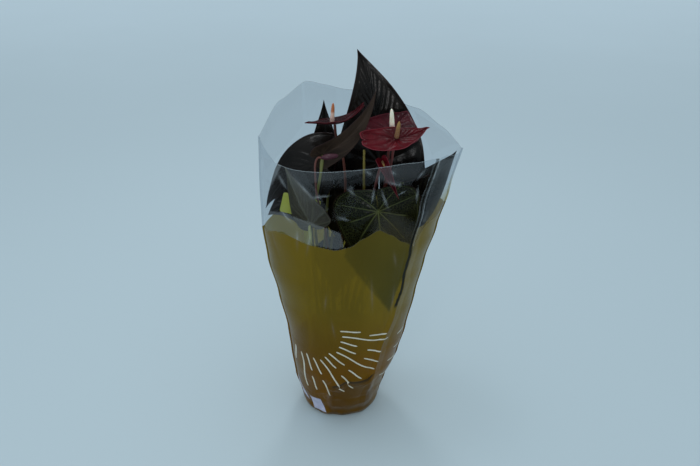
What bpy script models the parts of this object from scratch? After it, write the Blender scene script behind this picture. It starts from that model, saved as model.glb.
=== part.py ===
"""Potted anthurium in its florist's sleeve: pot, potting mix, crown, leaves, flowers, label and film.

Every piece is one closed solid in its own object. Metres, +Z up. The origin is on the floor under
the pot's axis; +X is the plant's right and -Y its front, the side the big hanging leaf faces.
"""

import math

import bmesh
import bpy
from mathutils import Vector

# ---- driving dimensions, in metres -------------------------------------------------------------
GAP = 0.0004  # clearance kept between any two pieces
FILM = 0.0008  # wall given to the film solids

POT_HEIGHT = 0.120
POT_TOP_RADIUS = 0.0700
POT_BASE_RADIUS = 0.0500
POT_WALL = 0.0014
POT_LIP_HEIGHT = 0.013
POT_LIP_OUT = 0.0022
POT_SIDES = 40
POT_FLOOR_Z = FILM + GAP  # the pot stands on the film folded under it
DRAIN_COUNT = 6
DRAIN_RADIUS = 0.0055
DRAIN_RING = 0.030

MIX_TOP_Z = 0.104
CROWN_HEIGHT = 0.022
CROWN_RADIUS = 0.0105

# The sleeve's outline when it stands: height, left seam x, right seam x, front bulge, back bulge.
SLEEVE_STATIONS = (
    (0.000, -0.0600, 0.0620, 0.0530, 0.0530),
    (0.012, -0.0630, 0.0650, 0.0550, 0.0545),
    (0.045, -0.0720, 0.0745, 0.0620, 0.0610),
    (0.095, -0.0775, 0.0940, 0.0720, 0.0700),
    (0.140, -0.0815, 0.1050, 0.0760, 0.0740),
    (0.205, -0.0935, 0.1175, 0.0790, 0.0770),
    (0.265, -0.1065, 0.1295, 0.0830, 0.0790),
    (0.320, -0.1120, 0.1445, 0.0860, 0.0800),
    (0.380, -0.1120, 0.1595, 0.0890, 0.0800),
    (0.460, -0.1095, 0.1770, 0.0900, 0.0790),
    (0.530, -0.1085, 0.1890, 0.0900, 0.0780),
)
SEAM_FLANGE = 0.005  # flat weld along each side
BOXY = 2.6  # how square the film's section stands: 2 is a round lens
# Rim height along each panel, from the left seam to the right one.
FRONT_RIM = (
    (0.0, 0.460),
    (0.10, 0.442),
    (0.25, 0.443),
    (0.45, 0.449),
    (0.70, 0.457),
    (0.88, 0.455),
    (1.0, 0.4424),
)
BACK_RIM = (
    (0.0, 0.460),
    (0.09, 0.496),
    (0.21, 0.517),
    (0.30, 0.510),
    (0.43, 0.500),
    (0.78, 0.477),
    (0.9, 0.457),
    (1.0, 0.4424),
)
# The upright pleat in the front panel: height, place across.
PLEAT = (
    (0.0, 0.80),
    (0.06, 0.78),
    (0.14, 0.785),
    (0.205, 0.85),
    (0.25, 0.87),
    (0.33, 0.85),
    (0.40, 0.845),
    (0.53, 0.88),
)
PLEAT_DEPTH = 0.0035
TONGUE = 0.36  # how far past the pot's axis the front panel folds under
BACK_TUCK = 0.44  # the back panel's fold stops here, clear of the front one
COLUMNS = 24
ROWS = 18
TUCK_SHARES = (0.0, 0.36, 0.70, 1.0)  # rows of the fold under the pot, inside to outside

LABEL_WIDTH = 0.068
LABEL_HEIGHT = 0.031
LABEL_RISE = 0.265  # from the stick's foot to the card's middle
LABEL_TILT = 14.0  # degrees that the card leans on its stick
LABEL_FOOT = (-0.044, -0.032)

LEAF_THICK = 0.0009
SPATHE_THICK = 0.0011
# Heart outline, right half, tip to sinus: along the midrib over its length (lobes over theirs), across
# over half the width.
HEART = (
    (1.00, 0.00),
    (0.93, 0.065),
    (0.80, 0.22),
    (0.60, 0.48),
    (0.36, 0.76),
    (0.12, 0.96),
    (-0.25, 1.00),
    (-0.72, 0.84),
    (-1.00, 0.50),
    (-0.86, 0.20),
    (-0.42, 0.045),
)
RING_SHARES = (0.30, 0.58, 0.82, 1.0)


POT_BROWN = (0.24, 0.085, 0.038)


# ---- small helpers ------------------------------------------------------------------------------
def clear_scene():
    for item in list(bpy.data.objects):
        bpy.data.objects.remove(item, do_unlink=True)


def finish(name, color, roughness, metallic=0.0, alpha=1.0):
    """A Principled material with the piece's plain colour."""
    mat = bpy.data.materials.get(name) or bpy.data.materials.new(name)
    mat.use_nodes = True
    shader = mat.node_tree.nodes["Principled BSDF"]
    shader.inputs["Base Color"].default_value = (*color, 1.0)
    shader.inputs["Roughness"].default_value = roughness
    shader.inputs["Metallic"].default_value = metallic
    shader.inputs["Alpha"].default_value = alpha
    return mat


def place(name, data, mat):
    """Link mesh or curve data as a named object with one material."""
    item = bpy.data.objects.new(name, data)
    bpy.context.scene.collection.objects.link(item)
    data.materials.append(mat)
    return item


def mesh_from(name, bm, mat, smooth=35.0):
    """Turn a bmesh into a shaded object."""
    mesh = bpy.data.meshes.new(name)
    bm.normal_update()
    bm.to_mesh(mesh)
    bm.free()
    mesh.shade_smooth()
    mesh.set_sharp_from_angle(angle=math.radians(smooth))
    return place(name, mesh, mat)


def along(table, x):
    """Smooth value of a (place, value) table at x."""
    for (x0, y0), (x1, y1) in zip(table, table[1:]):
        if x <= x1:
            t = max(0.0, (x - x0) / (x1 - x0))
            t = t * t * (3 - 2 * t) * 0.5 + t * 0.5
            return y0 + (y1 - y0) * t
    return table[-1][1]


def lathe(profile, sides, start=0.0):
    """Bmesh of a closed body turned about Z from (radius, z) points; ends on the axis."""
    bm = bmesh.new()
    rings = []
    for radius, z in profile:
        if radius < 1e-7:
            rings.append([bm.verts.new((0, 0, z))])
            continue
        turn = [start + 2 * math.pi * i / sides for i in range(sides)]
        rings.append([bm.verts.new((radius * math.cos(a), radius * math.sin(a), z)) for a in turn])
    for low, high in zip(rings, rings[1:]):
        for i in range(sides):
            j = (i + 1) % sides
            if len(low) == 1:
                bm.faces.new((low[0], high[j], high[i]))
            elif len(high) == 1:
                bm.faces.new((low[i], low[j], high[0]))
            else:
                bm.faces.new((low[i], low[j], high[j], high[i]))
    return bm


# ---- pot, potting mix and crown -------------------------------------------------------------------
def pot_radius(z):
    """Outer radius of the pot's tapered wall at height z above its own base."""
    return POT_BASE_RADIUS + (POT_TOP_RADIUS - POT_LIP_OUT - POT_BASE_RADIUS) * z / POT_HEIGHT


def make_pot():
    """Thin tapered nursery pot with a turned-out lip and a ring of drain holes in its floor."""
    base, top, wall = POT_FLOOR_Z, POT_FLOOR_Z + POT_HEIGHT, POT_WALL
    lip_z = POT_HEIGHT - POT_LIP_HEIGHT
    profile = (
        (0.0, base + 0.003),
        (POT_BASE_RADIUS - 0.010, base + 0.003),
        (POT_BASE_RADIUS - 0.008, base),
        (POT_BASE_RADIUS - 0.0015, base),
        (pot_radius(0.002), base + 0.002),
        (pot_radius(lip_z), base + lip_z),
        (POT_TOP_RADIUS - 0.0002, base + lip_z + 0.0012),
        (POT_TOP_RADIUS, top - 0.0006),
        (POT_TOP_RADIUS - 0.0007, top),
        (POT_TOP_RADIUS - wall, top - 0.0004),
        (pot_radius(lip_z) - wall, base + lip_z - 0.002),
        (pot_radius(0.006) - wall, base + 0.006),
        (pot_radius(0.006) - wall - 0.0015, base + 0.003 + wall),
        (0.0, base + 0.003 + wall),
    )
    plastic = finish("pot_plastic", POT_BROWN, 0.5)
    pot = mesh_from("pot", lathe(profile, POT_SIDES, start=0.031), plastic)
    for i in range(DRAIN_COUNT):
        angle = 2 * math.pi * (i + 0.5) / DRAIN_COUNT
        drill = bmesh.new()
        size = dict(radius1=DRAIN_RADIUS, radius2=DRAIN_RADIUS, depth=0.02)
        bmesh.ops.create_cone(drill, cap_ends=True, segments=10, **size)
        cutter = mesh_from(f"drain_cutter_{i}", drill, plastic)
        cutter.location = (DRAIN_RING * math.cos(angle), DRAIN_RING * math.sin(angle), base + 0.004)
        cutter.hide_render = True
        cutter.display_type = "WIRE"
        hole = pot.modifiers.new(f"drain_{i}", "BOOLEAN")
        hole.operation = "DIFFERENCE"
        hole.solver = "EXACT"
        hole.object = cutter


def mix_height(x, y):
    """Height of the mix's lumpy top at a place."""
    lumps = 0.0011 * math.sin(190 * x + 1.3) * math.cos(170 * y - 0.4)
    lumps += 0.0007 * math.sin(330 * y + 260 * x)
    return MIX_TOP_Z + 0.0025 * math.exp(-(x * x + y * y) / 0.0009) + lumps


def make_mix():
    """Block of potting mix that fills the pot to a little under its lip."""
    floor = POT_FLOOR_Z + 0.003 + POT_WALL + GAP
    bottom = POT_BASE_RADIUS - 0.005
    top = pot_radius(MIX_TOP_Z - POT_FLOOR_Z) - POT_WALL - GAP - 0.0006
    profile = [(0.0, floor), (bottom, floor), (top, MIX_TOP_Z - 0.002)]
    profile += [(top * k, MIX_TOP_Z) for k in (0.93, 0.75, 0.55, 0.35, 0.18)]
    profile.append((0.0, MIX_TOP_Z))
    bm = lathe(profile, 28)
    for vert in bm.verts:
        if vert.co.z > MIX_TOP_Z - 0.0001:
            vert.co.z = mix_height(vert.co.x, vert.co.y)
    mesh_from("potting_mix", bm, finish("peat", (0.052, 0.034, 0.022), 0.95))


def make_crown():
    """Short woody stem base that the stalks rise round."""
    steps = 6
    profile = [(0.0, 0.0), (CROWN_RADIUS * 0.9, 0.0)]
    for i in range(1, steps):
        t = i / steps
        profile.append((CROWN_RADIUS * (1 - 0.55 * t ** 2) * (1 + 0.10 * (i % 2)), CROWN_HEIGHT * t))
    profile.append((0.0, CROWN_HEIGHT))
    crown = mesh_from("crown", lathe(profile, 14), finish("crown_bark", (0.16, 0.115, 0.06), 0.85))
    crown.location = (0.0, 0.0, mix_height(0.0, 0.0) + 0.0010 + GAP)


# ---- stalks -------------------------------------------------------------------------------------------
def stalk(name, points, radii, mat, sides=2, steps=3):
    """A bent round stalk through the points, with its own radius at each."""
    curve = bpy.data.curves.new(name, "CURVE")
    curve.dimensions = "3D"
    curve.resolution_u = steps
    curve.render_resolution_u = 0
    curve.bevel_depth = 1.0
    curve.bevel_resolution = sides
    curve.use_fill_caps = True
    spline = curve.splines.new("BEZIER")
    spline.bezier_points.add(len(points) - 1)
    for knot, co, radius in zip(spline.bezier_points, points, radii):
        knot.co = co
        knot.radius = radius
        knot.handle_left_type = knot.handle_right_type = "AUTO"
    return place(name, curve, mat)


def foot(angle, radius):
    """A place on the mix beside the crown, where a stalk starts."""
    x, y = radius * math.cos(math.radians(angle)), radius * math.sin(math.radians(angle))
    return Vector((x, y, mix_height(x, y) + 0.0024))


def petiole(name, angle, ring, bends, end, arrive, thick=0.0019, color=(0.20, 0.24, 0.05)):
    """Leaf stalk: sheathed at its foot, slim in the middle, with the swollen joint under the blade."""
    start, end, arrive = foot(angle, ring), Vector(end), Vector(arrive).normalized()
    neck = end - arrive * 0.020
    joint = end - arrive * 0.009
    points = [start, *[Vector(b) for b in bends], neck, joint, end]
    radii = [thick * 1.5, *[thick for _ in bends], thick, thick * 1.35, thick * 0.95]
    stalk(name, points, radii, finish(name.split("_")[0] + "_green", color, 0.45))


def peduncle(name, angle, ring, bends, end, arrive, thick=0.0019, neck=0.016, color=(0.30, 0.07, 0.04)):
    """Flower stalk: even along its length and a little wider under the spathe."""
    start, end, arrive = foot(angle, ring), Vector(end), Vector(arrive).normalized()
    points = [start, *[Vector(b) for b in bends], end - arrive * neck, end]
    radii = [thick * 1.15, *[thick for _ in bends], thick, thick * 1.1]
    stalk(name, points, radii, finish("peduncle_red", color, 0.4))


# ---- blades: leaves and spathes ---------------------------------------------------------------------
def heart_half(count):
    """The heart outline's right half as evenly stepped places between the design points."""
    out = []
    for i in range(count + 1):
        f = i / count * (len(HEART) - 1)
        k = min(int(f), len(HEART) - 2)
        t = f - k
        p0, p1, p2, p3 = (HEART[max(0, min(len(HEART) - 1, k + d))] for d in (-1, 0, 1, 2))
        point = []
        for c0, c1, c2, c3 in zip(p0, p1, p2, p3):
            a, b = 2 * c0 - 5 * c1 + 4 * c2 - c3, 3 * c1 - c0 - 3 * c2 + c3
            point.append(0.5 * (2 * c1 + (c2 - c0) * t + a * t * t + b * t * t * t))
        out.append(tuple(point))
    return out


def blade_frame(spec, a):
    """Place, forward, side and face directions on the midrib at a metres from the junction."""
    joint, mid, tip = (Vector(spec[k]) for k in ("joint", "mid", "tip"))
    length = (mid - joint).length + (tip - mid).length
    t = min(1.0, max(0.0, a / length))
    spot = joint * (1 - t) ** 2 + mid * 2 * t * (1 - t) + tip * t * t
    forward = ((mid - joint) * (1 - t) + (tip - mid) * t).normalized()
    if a < 0:
        spot = joint + forward * a
    face = Vector(spec["face"]).lerp(Vector(spec.get("tip_face", spec["face"])), t)
    face = (face - forward * face.dot(forward)).normalized()
    return spot, forward, forward.cross(face), face, length


def blade_point(spec, a, b):
    """Where a place on the flat blade goes once it is folded along its midrib, cupped and waved."""
    spot, forward, side, face, length = blade_frame(spec, a)
    half = spec["width"] / 2
    reach = abs(b) / half
    fold = math.radians(spec.get("fold", 10)) * (1 - 0.4 * max(0.0, a / length))
    out = side * b * math.cos(fold) + face * abs(b) * math.sin(fold)
    out += face * (spec.get("cup", 0.0) * reach * reach * half)
    out += face * (spec.get("skew", 0.0) * (b / half) * half)
    if a < 0:
        out += face * (spec.get("lobe_lift", 0.0) * (a / spec["lobes"]) ** 2 * spec["lobes"])
    wave = spec.get("wave", 0.0) * reach * math.sin(a / length * 9.0 + (1.7 if b > 0 else 0.2))
    return spot + out + face * wave


def blade(name, spec, mat, thick, per_half=12):
    """Heart-shaped blade fanned out from its junction, then given its thickness."""
    length = blade_frame(spec, 0.0)[4]
    half_outline = heart_half(per_half)
    shut = spec.get("shut", 0.0)
    half_outline = [(a - shut * (1 + a) if a < 0 and b < 0.5 else a, b) for a, b in half_outline]
    right = [(a * (length if a > 0 else spec["lobes"]), b * spec["width"] / 2) for a, b in half_outline]
    outline = [(a, -b) for a, b in reversed(right)][:-1] + right
    bm = bmesh.new()
    centre = bm.verts.new(blade_point(spec, 0.0, 0.0))
    rings = [[bm.verts.new(blade_point(spec, a * k, b * k)) for a, b in outline] for k in RING_SHARES]
    for i in range(len(outline) - 1):
        bm.faces.new((centre, rings[0][i], rings[0][i + 1]))
        for inner, outer in zip(rings, rings[1:]):
            bm.faces.new((inner[i], outer[i], outer[i + 1], inner[i + 1]))
    item = mesh_from(name, bm, mat, smooth=60.0)
    wall = item.modifiers.new("thickness", "SOLIDIFY")
    wall.thickness = thick
    wall.offset = 0.0
    return item


def under(spec, thick, stalk_radius, arrive):
    """The end of a stalk that meets the blade's underside at its junction with the usual gap."""
    _, forward, _, face, _ = blade_frame(spec, 0.0)
    way = Vector(arrive).normalized()
    lean = math.sqrt(max(0.0, 1 - way.dot(face) ** 2))
    return Vector(spec["joint"]) - face * (thick / 2 + GAP + stalk_radius * (0.25 + lean))


LEAVES = {
    "tall": dict(
        joint=(0.060, 0.042, 0.402), mid=(0.060, 0.050, 0.490), tip=(0.027, 0.068, 0.562),
        face=(0.0, -0.96, 0.28), width=0.132, lobes=0.054, fold=8, cup=0.02, wave=0.0018, shut=0.85,
    ),
    "upright": dict(
        joint=(-0.020, 0.050, 0.392), mid=(-0.019, 0.056, 0.440), tip=(-0.0205, 0.060, 0.491),
        face=(-0.15, -0.97, 0.15), width=0.054, lobes=0.020, fold=12, cup=0.0, wave=0.0010,
    ),
    "left": dict(
        joint=(-0.020, 0.004, 0.4125), mid=(-0.070, 0.004, 0.4260), tip=(-0.1050, -0.002, 0.350),
        face=(-0.25, -0.80, 0.55), tip_face=(-0.60, -0.75, 0.25), width=0.102, lobes=0.018, fold=-8,
        cup=-0.10, wave=0.0016,
    ),
    "front_left": dict(
        joint=(-0.037, -0.060, 0.353), mid=(-0.055, -0.058, 0.393), tip=(-0.0705, -0.042, 0.434),
        face=(0.45, 0.85, -0.05), width=0.060, lobes=0.010, fold=14, cup=0.04, wave=0.0010,
    ),
    "front": dict(
        joint=(0.0555, -0.056, 0.372), mid=(0.0640, -0.071, 0.300), tip=(0.0745, -0.061, 0.2097),
        face=(0.04, -1.0, 0.05), width=0.126, lobes=0.032, fold=-12, cup=-0.30, wave=0.0014,
        lobe_lift=-0.06, shut=0.60,
    ),
    "right": dict(
        joint=(0.100, 0.008, 0.345), mid=(0.134, 0.008, 0.388), tip=(0.1655, 0.001, 0.4375),
        face=(0.10, -0.97, 0.20), width=0.076, lobes=0.028, fold=-4, cup=-0.04, wave=0.0012,
    ),
    "inner": dict(
        joint=(-0.006, 0.023, 0.372), mid=(-0.002, 0.018, 0.330), tip=(0.005, 0.022, 0.268),
        face=(-0.05, -1.0, 0.10), width=0.082, lobes=0.024, fold=-8, cup=-0.08, wave=0.0012, shut=0.85,
    ),
    "low": dict(
        joint=(-0.040, 0.008, 0.352), mid=(-0.074, 0.006, 0.360), tip=(-0.1030, 0.002, 0.336),
        face=(-0.08, -0.95, 0.28), width=0.084, lobes=0.014, fold=-6, cup=-0.06, wave=0.0010,
    ),
    "young": dict(
        joint=(-0.021, -0.031, 0.445), mid=(0.0360, -0.020, 0.4700), tip=(0.0533, 0.010, 0.5243),
        face=(-0.30, 0.93, 0.15), width=0.040, lobes=0.014, fold=-14, cup=-0.06, wave=0.0008,
    ),
    "cupped": dict(
        joint=(0.090, -0.015, 0.403), mid=(0.107, -0.023, 0.405), tip=(0.125, -0.031, 0.416),
        face=(-0.30, -0.12, 0.93), width=0.040, lobes=0.012, fold=20, cup=0.12, wave=0.0008,
    ),
    "rear": dict(
        joint=(0.006, 0.063, 0.244), mid=(0.000, 0.070, 0.200), tip=(-0.008, 0.066, 0.150),
        face=(-0.05, 0.98, 0.15), width=0.096, lobes=0.028, fold=-10, cup=-0.16, wave=0.0014,
        lobe_lift=-0.04,
    ),
}

SPATHES = {
    "left": dict(
        joint=(-0.004, 0.015, 0.4720), mid=(-0.024, 0.014, 0.4725), tip=(-0.0455, 0.012, 0.4755),
        face=(0.0, 0.20, 0.98), width=0.044, lobes=0.040, fold=12, cup=0.05, lobe_lift=0.62,
    ),
    "back": dict(
        joint=(0.073, -0.004, 0.4676), mid=(0.0845, 0.0165, 0.4770), tip=(0.0986, 0.0400, 0.4818),
        face=(-0.05, -0.35, 0.93), width=0.084, lobes=0.018, fold=6, cup=-0.03,
    ),
    "front": dict(
        joint=(0.0755, -0.036, 0.4700), mid=(0.0990, -0.0335, 0.4725), tip=(0.1235, -0.020, 0.4815),
        face=(-0.15, -0.25, 0.95), width=0.052, lobes=0.044, fold=6, cup=-0.06, shut=0.8, lobe_lift=0.14,
    ),
    "narrow": dict(
        joint=(0.060, -0.040, 0.441), mid=(0.068, -0.054, 0.428), tip=(0.083, -0.054, 0.390),
        face=(-0.10, -0.90, 0.42), width=0.018, lobes=0.005, fold=34, cup=0.10,
    ),
}

# Each stalk's foot angle and ring, the places it bends through and the way it arrives.
PETIOLES = {
    "tall": (
        60, 0.021, [(0.016, 0.030, 0.200), (0.034, 0.042, 0.285), (0.048, 0.055, 0.340)],
        (0.08, -0.45, 0.90),
    ),
    "upright": (
        105, 0.023, [(-0.010, 0.028, 0.200), (-0.018, 0.042, 0.290), (-0.020, 0.058, 0.345)],
        (0.0, -0.40, 0.90),
    ),
    "left": (165, 0.024, [(-0.026, 0.008, 0.200), (-0.018, 0.016, 0.330)], (-0.30, -0.50, 0.80)),
    "front_left": (215, 0.024, [(-0.026, -0.028, 0.200), (-0.034, -0.058, 0.295)], (-0.05, 0.35, 0.93)),
    "front": (300, 0.022, [(0.018, -0.026, 0.190), (0.046, -0.032, 0.305)], (0.20, -0.75, 0.60)),
    "right": (5, 0.024, [(0.034, 0.006, 0.190), (0.076, 0.026, 0.280)], (0.25, -0.35, 0.88)),
    "inner": (125, 0.024, [(-0.017, 0.020, 0.200), (-0.008, 0.030, 0.310)], (0.0, -0.35, 0.90)),
    "low": (186, 0.028, [(-0.036, 0.004, 0.200), (-0.040, 0.016, 0.300)], (0.0, -0.35, 0.90)),
    "young": (200, 0.018, [(-0.020, -0.010, 0.200), (-0.032, -0.036, 0.360)], (0.10, 0.35, 0.93)),
    "cupped": (340, 0.020, [(0.028, -0.008, 0.190), (0.076, -0.012, 0.310)], (0.15, -0.05, 1.00)),
    "rear": (85, 0.018, [(0.004, 0.028, 0.160), (0.007, 0.040, 0.220)], (0.0, 0.80, 0.50)),
}
PEDUNCLES = {
    "left": (
        140, 0.0175, [(-0.008, 0.012, 0.190), (0.006, 0.008, 0.310), (0.0075, 0.013, 0.420)],
        (-0.10, 0.0, 1.0),
    ),
    "back": (25, 0.0175, [(0.026, 0.010, 0.200), (0.062, 0.006, 0.350)], (0.08, -0.06, 1.0)),
    "front": (320, 0.0180, [(0.022, -0.012, 0.200), (0.062, -0.024, 0.370)], (0.06, -0.08, 1.0)),
    "narrow": (280, 0.0180, [(0.010, -0.020, 0.200), (0.044, -0.022, 0.350)], (0.20, -0.40, 0.90)),
}
# Each spadix's lean forward and sideways, length, radius and colour.
SPADICES = {
    "left": ((-0.05, 0.0), 0.0265, 0.0033, (0.62, 0.16, 0.05)),
    "back": ((0.283, -0.135), 0.029, 0.0038, (0.78, 0.68, 0.45)),
    "front": ((0.229, -0.195), 0.022, 0.0034, (0.62, 0.42, 0.10)),
    "narrow": ((0.9, 0.0), 0.018, 0.0017, (0.60, 0.35, 0.12)),
}

LEAF_GREEN = (0.020, 0.026, 0.014)
LEAF_BACK = (0.10, 0.085, 0.055)
BRONZE = (0.12, 0.062, 0.026)
BURGUNDY = (0.11, 0.008, 0.014)
RED = (0.30, 0.016, 0.020)
OLIVE = (0.32, 0.30, 0.06)


def make_leaves():
    """The leaf blades, each on its own stalk."""
    dark = finish("leaf_dark", LEAF_GREEN, 0.28)
    pale = finish("leaf_underside", LEAF_BACK, 0.55)
    young = finish("leaf_bronze", BRONZE, 0.5)
    for key, spec in LEAVES.items():
        mat = {"front_left": pale, "young": young}.get(key, dark)
        blade(f"leaf_{key}", spec, mat, LEAF_THICK)


def make_petioles():
    """One stalk for each leaf, from the crown to the joint behind its blade."""
    for key, (angle, ring, bends, arrive) in PETIOLES.items():
        end = under(LEAVES[key], LEAF_THICK, 0.0020, arrive)
        petiole(f"petiole_{key}", angle, ring, bends, end, arrive)


def make_flowers():
    """Each flower is a waxy spathe, the spadix that stands on it and its stalk."""
    burgundy = finish("spathe_burgundy", BURGUNDY, 0.22)
    red = finish("spathe_red", RED, 0.25)
    for key, spec in SPATHES.items():
        colour = burgundy if key in ("back", "front") else red
        blade(f"spathe_{key}", spec, colour, SPATHE_THICK, per_half=9)
        angle, ring, bends, arrive = PEDUNCLES[key]
        end = under(spec, SPATHE_THICK, 0.0021, arrive)
        peduncle(f"peduncle_{key}", angle, ring, bends, end, arrive)


def spadix(name, spec, lean, length, radius, color):
    """Tapered, round-ended spike that stands on a spathe's face."""
    steps = 7
    profile = [(0.0, 0.0), (radius * 0.80, 0.0)]
    for i in range(1, steps + 1):
        t = i / steps
        close = math.sqrt(max(0.0, 1 - (max(0.0, t - 0.72) / 0.30) ** 2))
        profile.append((radius * (1 - 0.42 * t) * close, length * t))
    profile.append((0.0, length * 1.012))
    item = mesh_from(name, lathe(profile, 12), finish(name, color, 0.5), smooth=60.0)
    _, forward, side, face, _ = blade_frame(spec, 0.0)
    up = (face + forward * lean[0] + side * lean[1]).normalized()
    item.rotation_mode = "QUATERNION"
    item.rotation_quaternion = up.to_track_quat("Z", "Y")
    tilt = math.sqrt(max(0.0, 1 - up.dot(face) ** 2))
    rise = SPATHE_THICK / 2 + GAP + radius * (tilt + 0.25)
    item.location = blade_point(spec, 0.004, 0.0) + face * rise


def make_spadices():
    """The spikes of the four open flowers."""
    for key, (lean, length, radius, color) in SPADICES.items():
        spadix(f"spadix_{key}", SPATHES[key], lean, length, radius, color)


def make_bud():
    """A flower bud still rolled shut, on its stalk."""
    steps = 7
    profile = [(0.0, 0.0), (0.0018, 0.0)]
    for i in range(1, steps + 1):
        t = i / steps
        swell = math.sin(math.pi * min(1.0, t)) ** 0.8 * (1 - 0.35 * t)
        profile.append((0.0018 + 0.0030 * swell, 0.022 * t))
    profile.append((0.0, 0.0235))
    skin = finish("bud_purple", (0.16, 0.03, 0.06), 0.4)
    bud = mesh_from("bud", lathe(profile, 10), skin, smooth=60.0)
    bud.location = (-0.0214, -0.044, 0.447)
    bud.rotation_euler = (0.0, math.radians(83), 0.0)
    bends = [(-0.010, -0.018, 0.200), (-0.018, -0.044, 0.340), (-0.0290, -0.055, 0.415)]
    end = (-0.0220, -0.044, 0.4469)
    peduncle("peduncle_bud", 240, 0.0180, bends, end, (1.0, 0.0, 0.12), thick=0.0014, neck=0.004)


def make_cut_stalk():
    """The stalk of a finished flower, cut off below where its spathe was."""
    points = [foot(345, 0.034), (0.036, -0.003, 0.200), (0.037, 0.008, 0.330), (0.037, 0.018, 0.432)]
    stalk("stalk_cut", points, [0.0021, 0.0019, 0.0018, 0.0017], finish("stalk_olive", OLIVE, 0.45))


# ---- label and sleeve --------------------------------------------------------------------------------
def make_label():
    """Plastic plant label: a wide card set askew on a stick pushed into the mix."""
    half_x, half_z, mid_z = LABEL_WIDTH / 2, LABEL_HEIGHT / 2, LABEL_RISE
    turn = math.radians(-LABEL_TILT)

    def corner(x, z):
        return x * math.cos(turn) - z * math.sin(turn), mid_z + x * math.sin(turn) + z * math.cos(turn)

    foot_z = mid_z - half_z + 0.0005
    outline = [(-0.003, 0.0), (0.003, 0.0), (0.0055, foot_z - 0.0014), corner(half_x, -half_z)]
    outline += [corner(half_x, half_z), corner(-half_x, half_z), corner(-half_x, -half_z)]
    outline.append((-0.0055, foot_z + 0.0014))
    bm = bmesh.new()
    face = bm.faces.new([bm.verts.new((x, -0.0003, z)) for x, z in outline])
    grown = bmesh.ops.extrude_face_region(bm, geom=[face])
    moved = [v for v in grown["geom"] if isinstance(v, bmesh.types.BMVert)]
    bmesh.ops.translate(bm, verts=moved, vec=(0, 0.0006, 0))
    bmesh.ops.recalc_face_normals(bm, faces=bm.faces)
    label = mesh_from("care_label", bm, finish("label_lime", (0.45, 0.50, 0.10), 0.4))
    label.location = (*LABEL_FOOT, mix_height(*LABEL_FOOT) + 0.0024)
    label.rotation_euler = (math.radians(2), 0.0, math.radians(-4))


def sleeve_station(h):
    """Left seam, right seam, front bulge and back bulge of the standing film at a height."""
    return [along([(s[0], s[k]) for s in SLEEVE_STATIONS], h) for k in (1, 2, 3, 4)]


def wrap(x, left, right, radius):
    """Distance from the sleeve's mid plane that film stretched round a circle takes at x."""
    if radius <= 0:
        return 0.0
    for seam, sign in ((left, -1), (right, 1)):
        touch = radius * radius / abs(seam)
        if x * sign > touch:
            rise = math.sqrt(max(0.0, radius * radius - touch * touch))
            return rise * max(0.0, (abs(seam) - x * sign) / (abs(seam) - touch))
    return math.sqrt(max(0.0, radius * radius - x * x))


def film_point(front, u, h):
    """Inner face of a panel at a share u across from the left seam and a height h."""
    left, right, bulge_front, bulge_back = sleeve_station(h)
    inner = pot_radius(min(h, 0.121)) + 0.0036 + 0.019 * min(h, 0.121) - 0.34 * max(0.0, h - 0.124)
    x = left + (right - left) * u
    flange = SEAM_FLANGE * min(1.0, h / 0.03)
    flat = flange / (right - left)
    share = min(1.0, max(0.0, (u - flat) / (1 - 2 * flat)))
    bulge = bulge_front if front else bulge_back
    y = bulge * max(0.0, 1 - abs(2 * share - 1) ** BOXY) ** 0.64
    y = max(y, wrap(x, left + flange, right - flange, inner))
    if front:
        near = abs(share - along(PLEAT, h)) * (right - left)
        y += PLEAT_DEPTH * max(0.0, 1 - near / 0.009) * min(1.0, h / 0.05)
    y += GAP / 2
    return Vector((x, -y if front else y, 0.0))


def make_panel(name, front, rim, mat):
    """One film panel: folded under the pot, up round it and on to its rim, welded flat at both sides."""
    bm = bmesh.new()
    sign = -1 if front else 1
    grid = []
    for share in TUCK_SHARES:
        row = []
        for i in range(COLUMNS + 1):
            p = film_point(front, i / COLUMNS, 0.0)
            span = abs(p.y) - GAP / 2
            stop = 0.14 - (0.14 + TONGUE) * math.sin(math.pi * i / COLUMNS) ** 2 if front else BACK_TUCK
            k = stop + (0.985 - stop) * share
            row.append(Vector((p.x * (0.82 + 0.165 * share), sign * (GAP / 2 + span * k), FILM)))
        grid.append(row)
    for j in range(ROWS + 1):
        row = []
        for i in range(COLUMNS + 1):
            u = i / COLUMNS
            h = FILM + 0.0024 + (along(rim, u) - FILM - 0.0024) * (j / ROWS) ** 1.12
            p = film_point(front, u, h)
            row.append(Vector((p.x, p.y, h)))
        grid.append(row)
    rows = [[bm.verts.new(p) for p in row] for row in grid]
    for low, high in zip(rows, rows[1:]):
        for i in range(COLUMNS):
            quad = (low[i], low[i + 1], high[i + 1], high[i])
            bm.faces.new(quad if front else tuple(reversed(quad)))
    item = mesh_from(name, bm, mat, smooth=30.0)
    wall = item.modifiers.new("film", "SOLIDIFY")
    wall.thickness = FILM
    wall.offset = 1.0
    wall.use_even_offset = True
    return item


def make_sleeve():
    """Printed film sleeve: two panels welded along both sides."""
    film = finish("film_print", (0.30, 0.24, 0.07), 0.3, alpha=0.6)
    make_panel("sleeve_front", True, FRONT_RIM, film)
    make_panel("sleeve_back", False, BACK_RIM, film)


def main():
    clear_scene()
    make_pot()
    make_mix()
    make_crown()
    make_leaves()
    make_petioles()
    make_flowers()
    make_spadices()
    make_bud()
    make_cut_stalk()
    make_label()
    make_sleeve()


main()
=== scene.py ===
"""Looks of a potted anthurium standing in its printed film sleeve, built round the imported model.

Metres, +Z up. The origin is on the floor under the pot's axis and -Y is the plant's front.
"""

import logging
import math
import random
from dataclasses import dataclass, field
from enum import Enum
from typing import Any, Callable, Sequence

import bmesh
import bpy
import numpy as np
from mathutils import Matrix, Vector
from mathutils.bvhtree import BVHTree


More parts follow.
